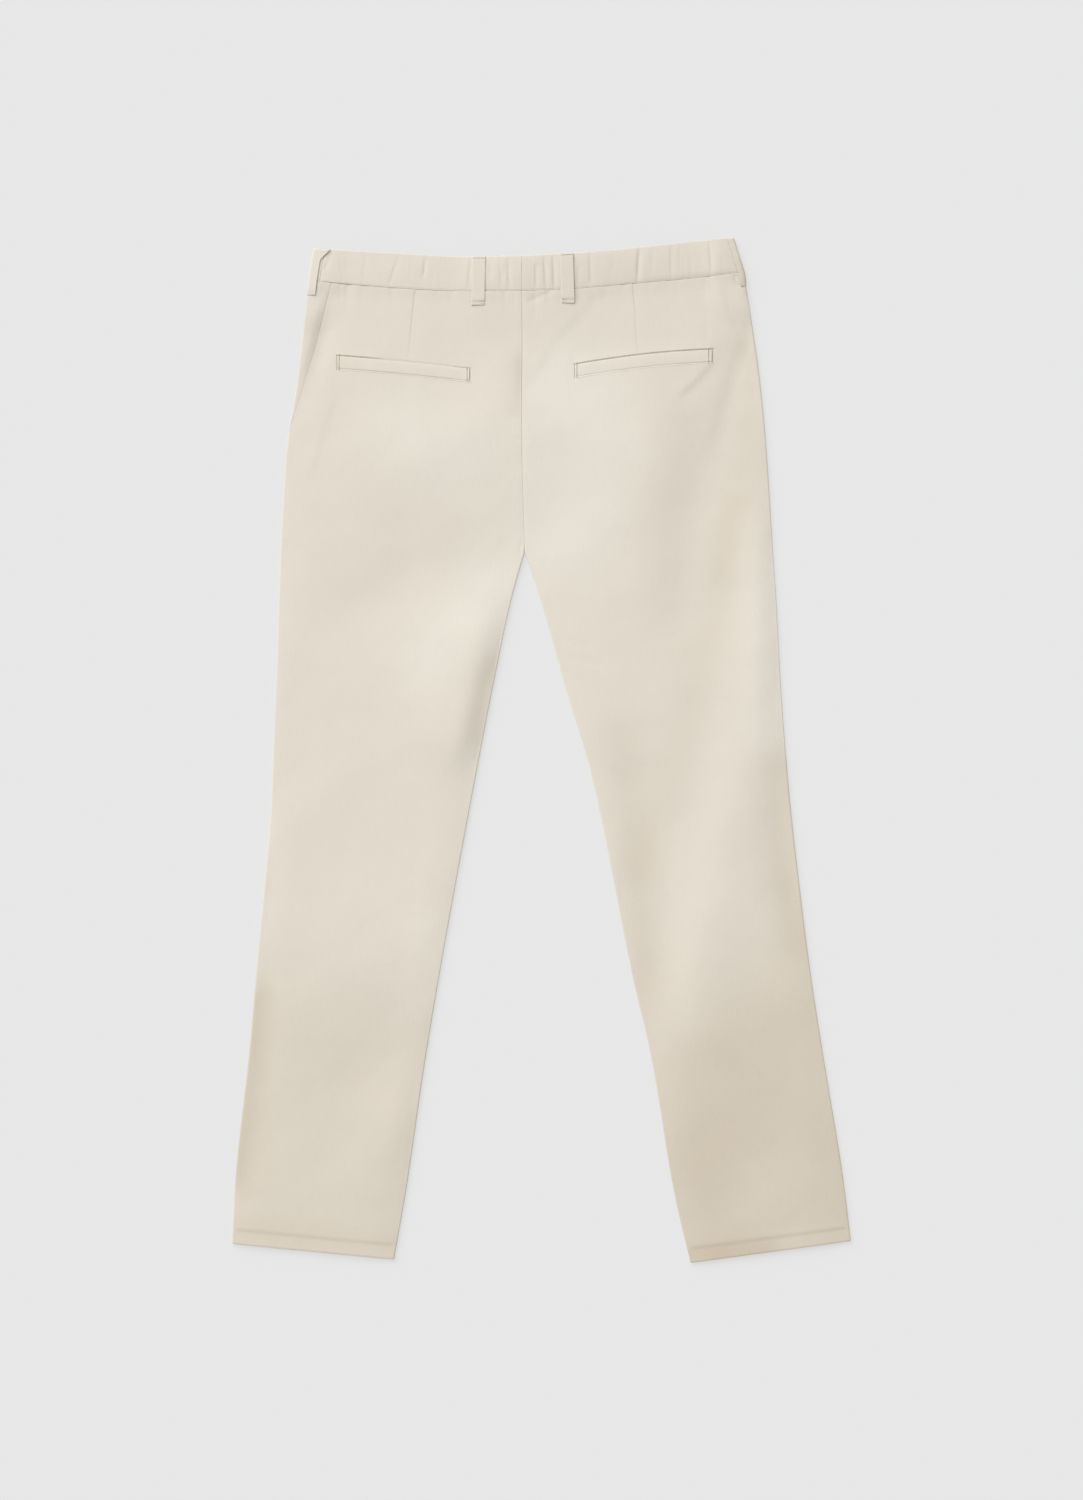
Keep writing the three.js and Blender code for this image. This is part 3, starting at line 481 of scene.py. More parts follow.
def hem_relief(row):
    """The leg puffs a little above the hem's stitching, which pulls the turned-up part down."""
    above = (HEM_ROW - np.asarray(row, float)) * HEM_SPACING - HEM_DEPTH
    puff = 0.3 * np.exp(-(above / 7) ** 2) * smooth(above, -0.7, 0.9)
    return puff - 0.34 * np.exp(-(above / 9) ** 2) * (1 - smooth(above, -0.7, 0.9))


def back_face(side, row, inset):
    """The height of the back's outer face, with everything that shows on it."""
    x, y = place(side, row, inset)
    inner = width_of(side, row) - inset
    forked = smooth(np.asarray(row, float), FORK_ROW - 0.25, FORK_ROW)
    share = shoulder(inset - EDGE_RADIUS) * mix(1, shoulder(inner - EDGE_RADIUS), forked)
    broad = fold_height(x, y, BROAD_FOLDS) + plateau(x, y, FLY_X, 490, 320, 32, 60, 0.9)
    fine = fold_height(x, y, CREASES) + dart_relief(side, x, y) + mouth_relief(side, x, y) + undulation(x, y)
    fine = fine + step_height(x, y, STEPS)
    below = seam_height(x) - y
    step_up = mix(0.62, 0.5, smooth(x, 60, 150)) * np.exp(-(np.maximum(below, 0) / 8) ** 2)
    fine = fine + (puckers(x, below) + step_up) * (np.asarray(row) < 2)
    base = FACE_HEIGHT - 2 * EDGE_RADIUS + broad - seam_dip(side, row, inset, inner)
    fine = np.minimum(share * 3, 1) * (fine + hem_relief(row))
    return 2 * EDGE_RADIUS + share * base + fine + lift_above(x, y)


def height_on_back(x, y):
    """The outer face's height above any x, y on the backs."""
    x, y = np.broadcast_arrays(np.asarray(x, float), np.asarray(y, float))
    z = np.zeros(x.shape)
    for side in ("left", "right"):
        mine = x < FLY_X if side == "left" else x >= FLY_X
        row, inset = find_row(side, x[mine], y[mine], 0.0)
        z[mine] = back_face(side, row, inset)
    return z


print("face above the left pocket:", np.round(height_on_back([-150.0], [430.0]), 2), "mm")

# %% [markdown]
# Painted shade and painted light in the cloth's colour: it is painted a little deeper and warmer towards the
# hems, for light that falls off down the legs, and along the shaded sides of some folds, and paler on the seat
# and on lit bulges. The table has broad soft strokes in the same form as the folds, in steps of screen
# brightness.

# %% Painted shade
# painted shade: darker by (below 0, painted light), width, lean, points
PAINTED_SHADE_STROKES = [
    (-7, 58, 0, [(30, 366), (56, 318), (30, 240)]), (-4, 50, 0, [(-150, 340), (-90, 310)]),
    (-5, 42, 0, [(-60, 170), (-115, 100)]), (-5, 28, 0, [(250, 200), (238, 20)]),
    (-4, 28, 0, [(-120, -190), (-130, -260)]), (3, 36, 0, [(200, 520), (0, 506)]),
    (14, 6, 0, [(213, 510), (219, 478)]), (6, 28, 0, [(226, 440), (212, 384)]),
    (3, 40, 0, [(150, 340), (140, 250), (140, 120)]), (6, 28, 0, [(216, 335), (216, 300)]),
    (8, 22, 0, [(205, 255), (186, 180)]), (5, 12, 0, [(-28, 405), (-28, 360)]),
    (6, 14, 0, [(-50, 84), (-60, 44), (-68, 20)]), (4, 16, 0, [(-240, 436), (-246, 400)]),
    (5, 26, 0, [(184, 130), (136, -30), (108, -120)]), (5, 28, 0, [(84, 20), (102, -140), (104, -240)]),
    (10, 26, 0, [(262, -20), (256, -130), (276, -200)]), (8, 70, 0, [(285, -270), (200, -380)]),
    (8, 56, 0, [(300, -420), (306, -500)]), (8, 60, 0, [(156, -450), (190, -510)]),
    (8, 18, 0, [(-296, -262), (-307, -350), (-320, -450)]), (8, 14, 0, [(158, -530), (236, -523)]),
    (4, 16, 0, [(-150, -520), (-316, -504)]),
]
PAINTED_SHADE_RANGE = 32


def cloth_tone_and_painted_shade(x, y, z):
    """How much painted shade the cloth gets: 0 for the most painted light and 1 for the most painted shade. The
    strokes are weaker on the underside.
    """
    strokes = fold_height(x, y, PAINTED_SHADE_STROKES) * mix(0.35, 1, smooth(z, 1, 3))
    # painted shade that grows towards the hems, for light falling off down the legs, plus the painted strokes
    steps = 10.3 + 6.7 * smooth(-y, 120, 330) + strokes
    return np.clip(steps / PAINTED_SHADE_RANGE, 0, 1)


print("tone at the left seat:", np.round(cloth_tone_and_painted_shade(np.array(-150.0), np.array(340.0), np.array(5.0)), 2))

# %% [markdown]
# ## From points to a shell
# A grid of points becomes a mesh of quads, with its UV map measured in metres of cloth so that the weave has
# the same size everywhere. Solidify then gives it the cloth's thickness, inwards from the face that shows.

# %% Shells
def grid_mesh(name, x, y, z, cloth_u, cloth_v, flip=False):
    """A mesh through grids of x, y and z in millimetres, with UVs in metres along the cloth."""
    rows, across = x.shape
    corner = np.arange(rows * across).reshape(rows, across)
    corners = corner[:-1, :-1], corner[1:, :-1], corner[1:, 1:], corner[:-1, 1:]
    quads = np.stack(corners, axis=-1).reshape(-1, 4)
    quads = quads[:, ::-1] if flip else quads
    mesh = bpy.data.meshes.new(name)
    mesh.from_pydata((np.stack([x, y, z], axis=-1).reshape(-1, 3) * MM).tolist(), [], quads.tolist())
    uv = np.stack([cloth_u, cloth_v], axis=-1).reshape(-1, 2) * MM
    layer = mesh.uv_layers.new(name="cloth")
    layer.data.foreach_set("uv", uv[quads.reshape(-1)].reshape(-1))
    # a per-vertex attribute of painted shade and painted light, which the twill's colour reads
    painted_shade_attribute = mesh.attributes.new("cloth_tone_and_painted_shade", "FLOAT", "POINT")
    painted_shade_attribute.data.foreach_set("value", cloth_tone_and_painted_shade(x, y, z).reshape(-1))
    mesh.polygons.foreach_set("use_smooth", np.ones(len(quads), bool))
    mesh.update()
    return mesh


def shell(name, grids, thickness, material, node, flip=False):
    """A finished piece: the grid thickened, with its material, standing for its CAD node."""
    piece = bpy.data.objects.new(name, grid_mesh(name, *grids, flip=flip))
    scene.collection.objects.link(piece)
    wall = piece.modifiers.new("wall", "SOLIDIFY")
    wall.thickness = thickness * MM
    wall.offset = -1
    wall.use_quality_normals = True
    evaluated = piece.evaluated_get(bpy.context.evaluated_depsgraph_get())
    solid = bpy.data.meshes.new_from_object(evaluated)
    piece.modifiers.clear()
    piece.data = solid
    piece.data.materials.clear()
    piece.data.materials.append(material)
    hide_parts(node)
    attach(piece, "root")
    print(name, len(solid.polygons), "faces")
    return piece


# %% [markdown]
# ## Cotton twill
# Chino cloth is a fine cotton twill: yarns pass over two and under one, each row a step on, so the face is
# covered in tiny diagonal ribs about half a millimetre apart. The ribs are a bump on the UV map. Cotton is
# matt, with a faint sheen at a low angle from its fibres, and the yarns vary a little in thickness and tone.

# %% Twill and thread
def make_nodes(name):
    material = bpy.data.materials.new(name)
    material.use_nodes = True
    return material, material.node_tree.nodes, material.node_tree.links


def two_tones(nodes, links, factor, light, dark):
    """A colour between two others, by a factor from 0 to 1."""
    tint = nodes.new("ShaderNodeMix")
    tint.data_type = "RGBA"
    tint.inputs["A"].default_value = (*light, 1)
    tint.inputs["B"].default_value = (*dark, 1)
    links.new(factor, tint.inputs["Factor"])
    return tint.outputs["Result"]


def raised(nodes, links, height, strength, distance):
    """A bump on the material's surface, from a height."""
    bump = nodes.new("ShaderNodeBump")
    bump.inputs["Strength"].default_value = strength
    bump.inputs["Distance"].default_value = distance
    links.new(height, bump.inputs["Height"])
    links.new(bump.outputs["Normal"], nodes["Principled BSDF"].inputs["Normal"])


def twill(name, colour, painted_shade_colour, heading=1.0):
    material, nodes, links = make_nodes(name)
    shader = nodes["Principled BSDF"]
    shader.inputs["Roughness"].default_value = 0.92
    shader.inputs["Specular IOR Level"].default_value = 0.18
    shader.inputs["Sheen Weight"].default_value = 0.12
    shader.inputs["Sheen Roughness"].default_value = 0.6

    cloth = nodes.new("ShaderNodeUVMap")
    cloth.uv_map = "cloth"

    def noise(scale_u, scale_v, detail, source=cloth.outputs["UV"]):
        stretch = nodes.new("ShaderNodeMapping")
        stretch.inputs["Scale"].default_value = (scale_u, scale_v, 1)
        links.new(source, stretch.inputs["Vector"])
        field = nodes.new("ShaderNodeTexNoise")
        field.inputs["Scale"].default_value = 1
        field.inputs["Detail"].default_value = detail
        links.new(stretch.outputs["Vector"], field.inputs["Vector"])
        return field.outputs["Fac"]

    def blend(low, high, factor):
        mixed = nodes.new("ShaderNodeMapRange")
        mixed.inputs["To Min"].default_value = low
        mixed.inputs["To Max"].default_value = high
        links.new(factor, mixed.inputs["Value"])
        return mixed.outputs["Result"]

    def multiply(a, b):
        node = nodes.new("ShaderNodeMath")
        node.operation = "MULTIPLY"
        links.new(a, node.inputs[0])
        links.new(b, node.inputs[1])
        return node.outputs["Value"]

    # slubs along the warp and the weft, a soft mottle and a fine grain
    cloth_tone_and_painted_shade = multiply(blend(0.965, 1.035, noise(900, 60, 3)), blend(0.98, 1.02, noise(60, 900, 3)))
    cloth_tone_and_painted_shade = multiply(cloth_tone_and_painted_shade, blend(0.975, 1.025, noise(14, 10, 4)))
    cloth_tone_and_painted_shade = multiply(cloth_tone_and_painted_shade, blend(0.96, 1.04, noise(700, 700, 2)))

    # deeper and warmer where the piece's tone says so
    # painted shade and painted light: deeper and warmer, or paler, by the piece's painted shade attribute
    painted_shade_attribute = nodes.new("ShaderNodeAttribute")
    painted_shade_attribute.attribute_name = "cloth_tone_and_painted_shade"
    toned = nodes.new("ShaderNodeVectorMath")
    toned.operation = "SCALE"
    links.new(two_tones(nodes, links, painted_shade_attribute.outputs["Fac"], colour, painted_shade_colour), toned.inputs["Vector"])
    links.new(cloth_tone_and_painted_shade, toned.inputs["Scale"])
    links.new(toned.outputs["Vector"], shader.inputs["Base Color"])

    # the ribs of the twill and the yarns across them
    ribs = nodes.new("ShaderNodeTexWave")
    ribs.bands_direction = "X"
    ribs.inputs["Scale"].default_value = 560
    ribs.inputs["Distortion"].default_value = 0.6
    ribs.inputs["Detail"].default_value = 1
    turn = nodes.new("ShaderNodeMapping")
    turn.inputs["Rotation"].default_value = (0, 0, math.radians(58) * heading)
    links.new(cloth.outputs["UV"], turn.inputs["Vector"])
    links.new(turn.outputs["Vector"], ribs.inputs["Vector"])
    weave = multiply(ribs.outputs["Fac"], blend(0.7, 1.3, noise(1500, 1500, 1)))
    raised(nodes, links, weave, 0.35, 0.12 * MM)
    return material


def linear(red, green, blue):
    """A colour as it looks on a screen, 0 to 255, in the linear values that the shader takes."""
    return tuple(((v / 255 + 0.055) / 1.055) ** 2.4 for v in (red, green, blue))


# lit and shaded copies of the cloth's colour, for painted light and painted shade: the painted shade attribute
# mixes them
PAINTED_LIT_CLOTH, PAINTED_SHADED_CLOTH = linear(235, 229, 218), linear(204, 192, 172)
cloth_body = twill("twill", PAINTED_LIT_CLOTH, PAINTED_SHADED_CLOTH)
cloth_band = twill("twill_band", PAINTED_LIT_CLOTH, PAINTED_SHADED_CLOTH, heading=-1.0)
cloth_trim = twill("twill_trim", PAINTED_LIT_CLOTH, PAINTED_SHADED_CLOTH, heading=0.2)


def spun(name, light, dark):
    """Spun polyester thread, with its fibres as fine noise in the object's coordinates."""
    material, nodes, links = make_nodes(name)
    shader = nodes["Principled BSDF"]
    shader.inputs["Roughness"].default_value = 0.55
    where = nodes.new("ShaderNodeTexCoord")
    fibre = nodes.new("ShaderNodeTexNoise")
    fibre.inputs["Scale"].default_value = 2200
    links.new(where.outputs["Object"], fibre.inputs["Vector"])
    links.new(two_tones(nodes, links, fibre.outputs["Fac"], light, dark), shader.inputs["Base Color"])
    return material


thread = spun("thread", linear(222, 212, 196), linear(206, 195, 176))
# The bartacks' thread is darker than the seams' thread: painted shade for the dense bars.
painted_shade_tack_thread = spun("painted_shade_tack_thread", linear(200, 188, 168), linear(180, 166, 144))
print("materials:", cloth_body.name, cloth_band.name, cloth_trim.name, thread.name)

# %% [markdown]
# ## Round the edges
# One function gives a point on the way round the outer edge: above 0 on the upper side, below 0 underneath.
# The seam between back and front lies somewhere on that way, and both legs are made from it. At a join the
# cloth turns down and in, which leaves the fine dark line that a sewn seam has. At the hem it turns up
# inside the leg.

# %% Edges, joins and hems
WALL = 0.8
ARC = EDGE_RADIUS * math.pi / 2
# The way from a join, and how far the cloth has turned in there.
TURN_IN = [(0, 0.8), (0.02, 0.3), (0.09, 0.12), (0.28, 0.03), (0.8, 0)]
# The way below the hem's edge, or above it where the cloth has turned up, and the depth inside.
HEM_TURN = [(0.3, 0.15), (0.55, 0.5), (0.6, 0.95), (0.5, 1.45), (0.2, 1.75), (-2, 1.8), (-8, 1.8),
            (-HEM_DEPTH, 1.8)]
TOP_ROW = 0.002
ROW_PER_MM = 1 / TOP_SPACING


def tucked(turned, rows):
    """How far the side seam's edge turns in. It is pressed nearly flat where it comes over at the hip."""
    return turned * (1 - 0.7 * smooth(rows, 0.9, 1.5) * (1 - smooth(rows, 2.7, 3.2)))


def pressed(turn):
    """An edge that has been pressed is rolled less round than a circle."""
    return np.cos(turn) ** 0.6


def edge_point(side, rows, travel, depth, radius=EDGE_RADIUS, face=None):
    """x, y and z at a way along the cloth from the middle of the rolled outer edge."""
    face = face or back_face
    arc = radius * math.pi / 2
    turn = np.clip(travel / radius, -math.pi / 2, math.pi / 2)
    beyond = np.maximum(np.abs(travel) - arc, 0)
    inset = np.where(beyond > 0, radius + beyond, radius - (radius - depth) * pressed(turn))
    x, y = place(side, rows, inset)
    over = face(side, rows, np.maximum(inset, radius)) - depth
    rolled = radius + (radius - depth) * np.sin(turn) + lift(x, y)
    below_x, below_y = place(side, rows, inset, front=True)
    hollow = fold_height(below_x, below_y, FRONT_FOLDS) * shoulder(inset - radius)
    under = depth + lift(below_x, below_y) + hollow
    z = np.where(travel >= arc, over, np.where(travel <= -arc, under, rolled))
    return x, np.where(travel <= -arc, below_y, y), z


def inner_point(side, rows, way, turn, depth, upward):
    """Beside the centre seam, then round the inseam. upward is 1 for a back and -1 for a front."""
    width = width_of(side, rows)
    flat_x, flat_y = place(side, rows, width - way, front=upward < 0)
    flat_z = back_face(side, rows, width - way) - depth if upward > 0 else depth + lift(flat_x, flat_y)
    reach = EDGE_RADIUS - depth
    x, y = place(side, rows, width - EDGE_RADIUS + reach * pressed(turn))
    z = EDGE_RADIUS + upward * (reach * math.sin(turn) + GAP / 2 * math.cos(turn)) + lift(x, y)
    forked = smooth(rows, FORK_ROW - 0.06, FORK_ROW)
    return mix(np.stack([flat_x, flat_y, flat_z]), np.stack([x, y, z]), forked)


def down_the_leg(plain_rows):
    """Section numbers, depths and the way past the hem for a column of the given plain rows."""
    rows = [TOP_ROW + way * ROW_PER_MM for way, _ in TURN_IN]
    rows = np.concatenate([rows, plain_rows, [HEM_ROW + min(way, 0) / HEM_SPACING for way, _ in HEM_TURN]])
    depth = np.concatenate([[d for _, d in TURN_IN], np.zeros(len(plain_rows)), [d for _, d in HEM_TURN]])
    past = np.concatenate([np.zeros(len(TURN_IN) + len(plain_rows)), [max(way, 0) for way, _ in HEM_TURN]])
    return rows, depth, past


def spaced(first, last, count, power=1.0):
    """Values from first to last that crowd towards the first, which is left out."""
    return first + (last - first) * np.linspace(0, 1, count + 1)[1:] ** power


def both_ends(count, power):
    """Shares between 0 and 1 that crowd towards both ends."""
    half = np.linspace(0, 1, count // 2 + 1) ** power / 2
    return np.concatenate([half, 1 - half[-2::-1]])[1:-1]


def with_cloth(x, y, z):
    """The grid with its UVs: the way along the cloth from its middle, and down it."""
    down = np.hypot(np.diff(x, axis=0, prepend=x[:1]), np.diff(y, axis=0, prepend=y[:1])).cumsum(axis=0)
    across = np.hypot(np.hypot(np.diff(x, axis=1, prepend=x[:, :1]), np.diff(y, axis=1, prepend=y[:, :1])),
                      np.diff(z, axis=1, prepend=z[:, :1])).cumsum(axis=1)
    return x, y, z, across - across[:, -1:] / 2, down


def cloth_from(columns):
    """The same, from columns that hold x, y and z down the piece."""
    return with_cloth(*(np.array(part).T for part in zip(*columns)))


print("columns crowd like", np.round(both_ends(8, 1.35), 3))

# %% [markdown]
# ## Back legs
# The back legs are most of what shows. The grid is finest where the sewing is: along the waist seam, at the
# pocket mouth, down the dart and beside the seams. Its lines are bent to run along the mouth and the dart,
# so that their edges stay crisp.

# %% Back legs
UPPER = np.concatenate([spaced(0, 0.45, 29, 1.25), spaced(0.45, 0.93, 23), 1 - spaced(0, 0.07, 16, 1.3)[-2::-1],
                        [1]])
LOWER = np.concatenate([[0.0012], spaced(0.0012, 0.22, 23, 1.15), spaced(0.22, 1, 33)])
REST = np.concatenate([spaced(3, 4, 35), spaced(4, 11.2, 149), spaced(11.2, 12, 33)])
SEAT_WIDTH = 230


def mouth_row(side, inset_for):
    """The section at which a column crosses the pocket mouth's line, found by halving."""
    low, high = 0.3, 2.6
    for _ in range(20):
        middle = (low + high) / 2
        x, y = place(side, middle, inset_for(np.array(middle)))
        low, high = (middle, high) if y > mouth_line(side, x) else (low, middle)
    return low


def back_leg(side):
    first = lambda rows: EDGE_RADIUS + seam_travel(side, rows) + 5.4 - ARC
    last = lambda rows: width_of(side, rows) - 3.2
    (dart_x1, dart_y1), (dart_x2, dart_y2) = DARTS[side]
    top = np.array(0.0)
    dart_share = float((inset_at(side, top, dart_x1) - first(top)) / (last(top) - first(top)))
    beside_dart = np.array([0.5, 1.1, 1.7, 2.4, 3.2, 4.2, 5.4, 7, 9]) / SEAT_WIDTH
    plain = both_ends(104, 1.35)
    plain = plain[np.abs(plain - dart_share) > 10 / SEAT_WIDTH]
    shares = np.concatenate([plain, dart_share - beside_dart, [dart_share], dart_share + beside_dart])

    def inset_for_share(share):
        def inset(rows):
            straight = mix(first(rows), last(rows), share)
            near = abs(share - dart_share) * SEAT_WIDTH
            if near > 40:
                return straight
            centre = mix(first(rows), last(rows), dart_share)
            along = np.clip((place(side, rows, centre)[1] - dart_y1) / (dart_y2 - dart_y1), 0, 1.15)
            wanted = inset_at(side, rows, mix(dart_x1, dart_x2, along))
            return straight + (wanted - centre) * (1 - smooth(near, 14, 40)) * (1 - smooth(rows, 1.3, 2.6))
        return inset

    columns = []

    def add(inset_for, point):
        mouth = mouth_row(side, inset_for)
        start = TOP_ROW + TURN_IN[-1][0] * ROW_PER_MM
        rows, depth, past = down_the_leg(
            np.concatenate([mix(start, mouth, UPPER), mix(mouth, 3, LOWER), REST]))
        x, y, z = point(rows, depth)
        columns.append((x, y - past, z))

    for way, turned in TURN_IN + [(way, 0) for way in (1.5, 2.2, 2.9, 3.6, 4.6)]:
        travel = lambda rows, way=way: seam_travel(side, rows) + GAP / 2 + way
        add(lambda rows, travel=travel: EDGE_RADIUS + np.maximum(travel(rows) - ARC, 0),
            lambda rows, depth, travel=travel, turned=turned:
            edge_point(side, rows, travel(rows), np.maximum(depth, tucked(turned, rows))))
    for share in np.sort(shares):
        inset_for = inset_for_share(share)
        add(inset_for, lambda rows, depth, inset_for=inset_for: (
            *place(side, rows, inset_for(rows)), back_face(side, rows, inset_for(rows)) - depth))
    ways = [(2.5, 0, 90), (1.9, 0, 78), (1.4, 0, 64)] + [
        (way, depth, turn) for (way, depth), turn in zip(TURN_IN[::-1], (50, 36, 22, 8, 0))]
    for way, turned, degrees in ways:
        add(lambda rows, way=way: width_of(side, rows) - way,
            lambda rows, depth, way=way, turned=turned, degrees=degrees:
            inner_point(side, rows, way, math.radians(degrees), np.maximum(depth, turned), 1))
    return cloth_from(columns)


legs = {}
for side in ("left", "right"):
    grids = back_leg(side)
    name = f"back_{side}_leg"
    legs[name] = shell(name, grids, WALL, cloth_body, f"back_{side}_panel", flip=side == "right")

# %% [markdown]
# ## Front legs
# The fronts lie on the surface with their faces down. At the left hip the front comes round the edge and a
# strip of it shows beside the back. Little of the rest shows, so its grid is coarser and its cloth plain.

# %% Front legs
FRONT_ROWS = np.concatenate([spaced(TOP_ROW + 0.02, 3, 60, 1.2), spaced(3, 4, 16), spaced(4, 11.2, 60),
                             spaced(11.2, 12, 20)])


def round_to_front(side, radius=EDGE_RADIUS, count=14):
    """Ways from the side seam round the edge to the surface, as functions of the section."""
    arc = radius * math.pi / 2
    ways = [lambda rows, way=way: seam_travel(side, rows) - GAP / 2 - way for way, _ in TURN_IN]
    ends = lambda rows: np.minimum(seam_travel(side, rows) - 1.2, arc)
    above = [lambda rows, share=share: mix(seam_travel(side, rows) - 1.05, ends(rows), share)
             for share in spaced(0, 1, count)]
    under = [lambda rows, share=share: mix(ends(rows), -arc, share) for share in spaced(0, 1, 10)]
    return ways + above + under


def front_leg(side):
    rows, depth, past = down_the_leg(FRONT_ROWS)
    columns = []
    for index, travel in enumerate(round_to_front(side)):
        turned = TURN_IN[index][1] if index < len(TURN_IN) else 0
        columns.append(edge_point(side, rows, travel(rows), np.maximum(depth, tucked(turned, rows))))
    for share in both_ends(48, 1.2):
        inset = mix(EDGE_RADIUS, width_of(side, rows) - 3.2, share)
        x, y = place(side, rows, inset, front=True)
        hollow = fold_height(x, y, FRONT_FOLDS) * shoulder(inset - EDGE_RADIUS)
        columns.append((x, y, depth + lift(x, y) + hollow * shoulder(width_of(side, rows) - 3.2 - inset)))
    for way, turned, degrees in [(2.5, 0, 90), (1.9, 0, 70), (1.4, 0, 45)] + [
            (way, depth_in, turn) for (way, depth_in), turn in zip(TURN_IN[::-1], (30, 18, 10, 4, 0))]:
        columns.append(inner_point(side, rows, way, math.radians(degrees), np.maximum(depth, turned), -1))
    x, y, z = (np.array(part).T for part in zip(*columns))
    return with_cloth(x, y - past[:, None], z)


for side in ("left", "right"):
    grids = front_leg(side)
    name = f"front_{side}_leg"
    legs[name] = shell(name, grids, WALL, cloth_body, f"front_{side}_panel", flip=side == "left")

# %% [markdown]
# ## Waistband
# The band is a folded strip with elastic inside, which draws it up into small upright creases. Each is in
# the table with the place where it meets the upper edge and the seam. Between the creases the band puffs up.

# %% Waistband
# top, foot, from and to (shares of the height, from the seam), depth
GATHERS = [
    (-221, -231, 0.5, 1, 1.4), (-184.5, -188.5, 0.3, 1, 0.5), (-149, -161.5, 0, 1, 0.8),
    (-137, -138.5, 0.4, 1, 0.3), (-121.5, -126.5, 0.5, 1, 1.4), (-75, -77, 0, 1, 0.8),
    (-54, -54.5, 0.5, 1, 0.5), (-226, -231, 0.8, 1, 0.8), (198.6, 206, 0, 1, 1.5),
    (-43, -43, 0, 0.5, 0.5), (-36, -34, 0, 1, 0.9), (-7, -6, 0, 0.6, 0.9), (2, 4.5, 0, 1, 1),
    (11.5, 13, 0, 1, 1.2), (38, 38, 0, 0.5, 0.5), (49.5, 52, 0.2, 1, 0.8), (102, 100, 0, 1, 1.4),
    (135.5, 135.5, 0, 1, 0.6), (175.5, 178, 0.2, 1, 0.8),
]
BAND_WALL = 1.0
seeds = np.random.default_rng(5)
SMALL_GATHERS = [(at, at + shift, low, low + reach, depth) for at, shift, low, reach, depth in zip(
    seeds.uniform(-232, 200, 46), seeds.uniform(-3, 3, 46), seeds.choice([0, 0, 0.55, 0.7], 46),
    seeds.uniform(0.25, 0.5, 46), seeds.uniform(0.12, 0.4, 46))]


def band_face(side, row, inset):
    x, y = place(side, row, inset)
    up = np.clip(-np.asarray(row, float), 0, 1)
    crease = np.zeros(x.shape)
    for top, foot, low, high, deep in GATHERS + SMALL_GATHERS:
        away = x - mix(foot, top, up)
        away = away / np.where(away < 0, 1.0, 3.4) * (1 if deep > 0.45 else 1.4)
        shown = smooth(up, low - 0.25, low + 0.001) * (1 - smooth(up, high, high + 0.25))
        crease = np.maximum(crease, deep * shown * np.exp(-away ** 2))
    middle = smooth(x, -90, -70)
    foot = mix(mix(0.15, -0.25, middle), 0.25, smooth(x, 60, 150))
    arch = mix(foot, 1, np.sin(np.pi * np.clip(up, 0.01, 0.99)) ** mix(0.8, 0.5, middle))
    puffed = mix(0.5, 0.9, middle) * (1 - crease) * arch
    puffed = puffed - 0.7 * smooth(x, 60, 150) * np.exp(-(up / 0.09) ** 2)
    base = 2 * BAND_RADIUS + shoulder(inset - BAND_RADIUS) * (BAND_FACE - 2 * BAND_RADIUS)
    return base + puffed * shoulder(inset - BAND_RADIUS) + undulation(x, y) + lift_above(x, y)


# Down the band from its upper edge, which is a fold, to its seam: the section and the depth.
BAND_DOWN = [(-1 + way / BAND_HEIGHT, depth) for way, depth in [
    (0, 1.7), (0, 1.1), (0.04, 0.6), (0.14, 0.3), (0.4, 0.1), (0.9, 0.02), (1.5, 0)]] + [
    (row, 0) for row in spaced(-1 + 1.5 / BAND_HEIGHT, -1.2 / BAND_HEIGHT, 34)] + [
    (-way / BAND_HEIGHT - 1e-6, depth) for way, depth in TURN_IN[::-1]]


def back_band(side):
    rows, depth = (np.array(part) for part in zip(*BAND_DOWN))
    columns = []
    for way, turned in TURN_IN + [(way, 0) for way in (1.6, 2.4, 3.2, 4.2)]:
        travel = seam_travel(side, rows) + GAP / 2 + way
        columns.append(edge_point(side, rows, travel, np.maximum(depth, turned), BAND_RADIUS, band_face))
    start = BAND_RADIUS + max(float(seam_travel(side, -0.5)), 0) + 5 - BAND_RADIUS * math.pi / 2
    for share in np.linspace(0, 1, 190)[:-1]:
        inset = mix(start, width_of(side, rows) - 1.1, share)
        columns.append((*place(side, rows, inset), band_face(side, rows, inset) - depth))
    for way, turned in TURN_IN[::-1]:
        inset = width_of(side, rows) - way
        columns.append((*place(side, rows, inset), band_face(side, rows, inset) - np.maximum(depth, turned)))
    return cloth_from(columns)


OVERLAP = 15
OVERLAP_RAMP = 14
BAND_STEP = 2.1


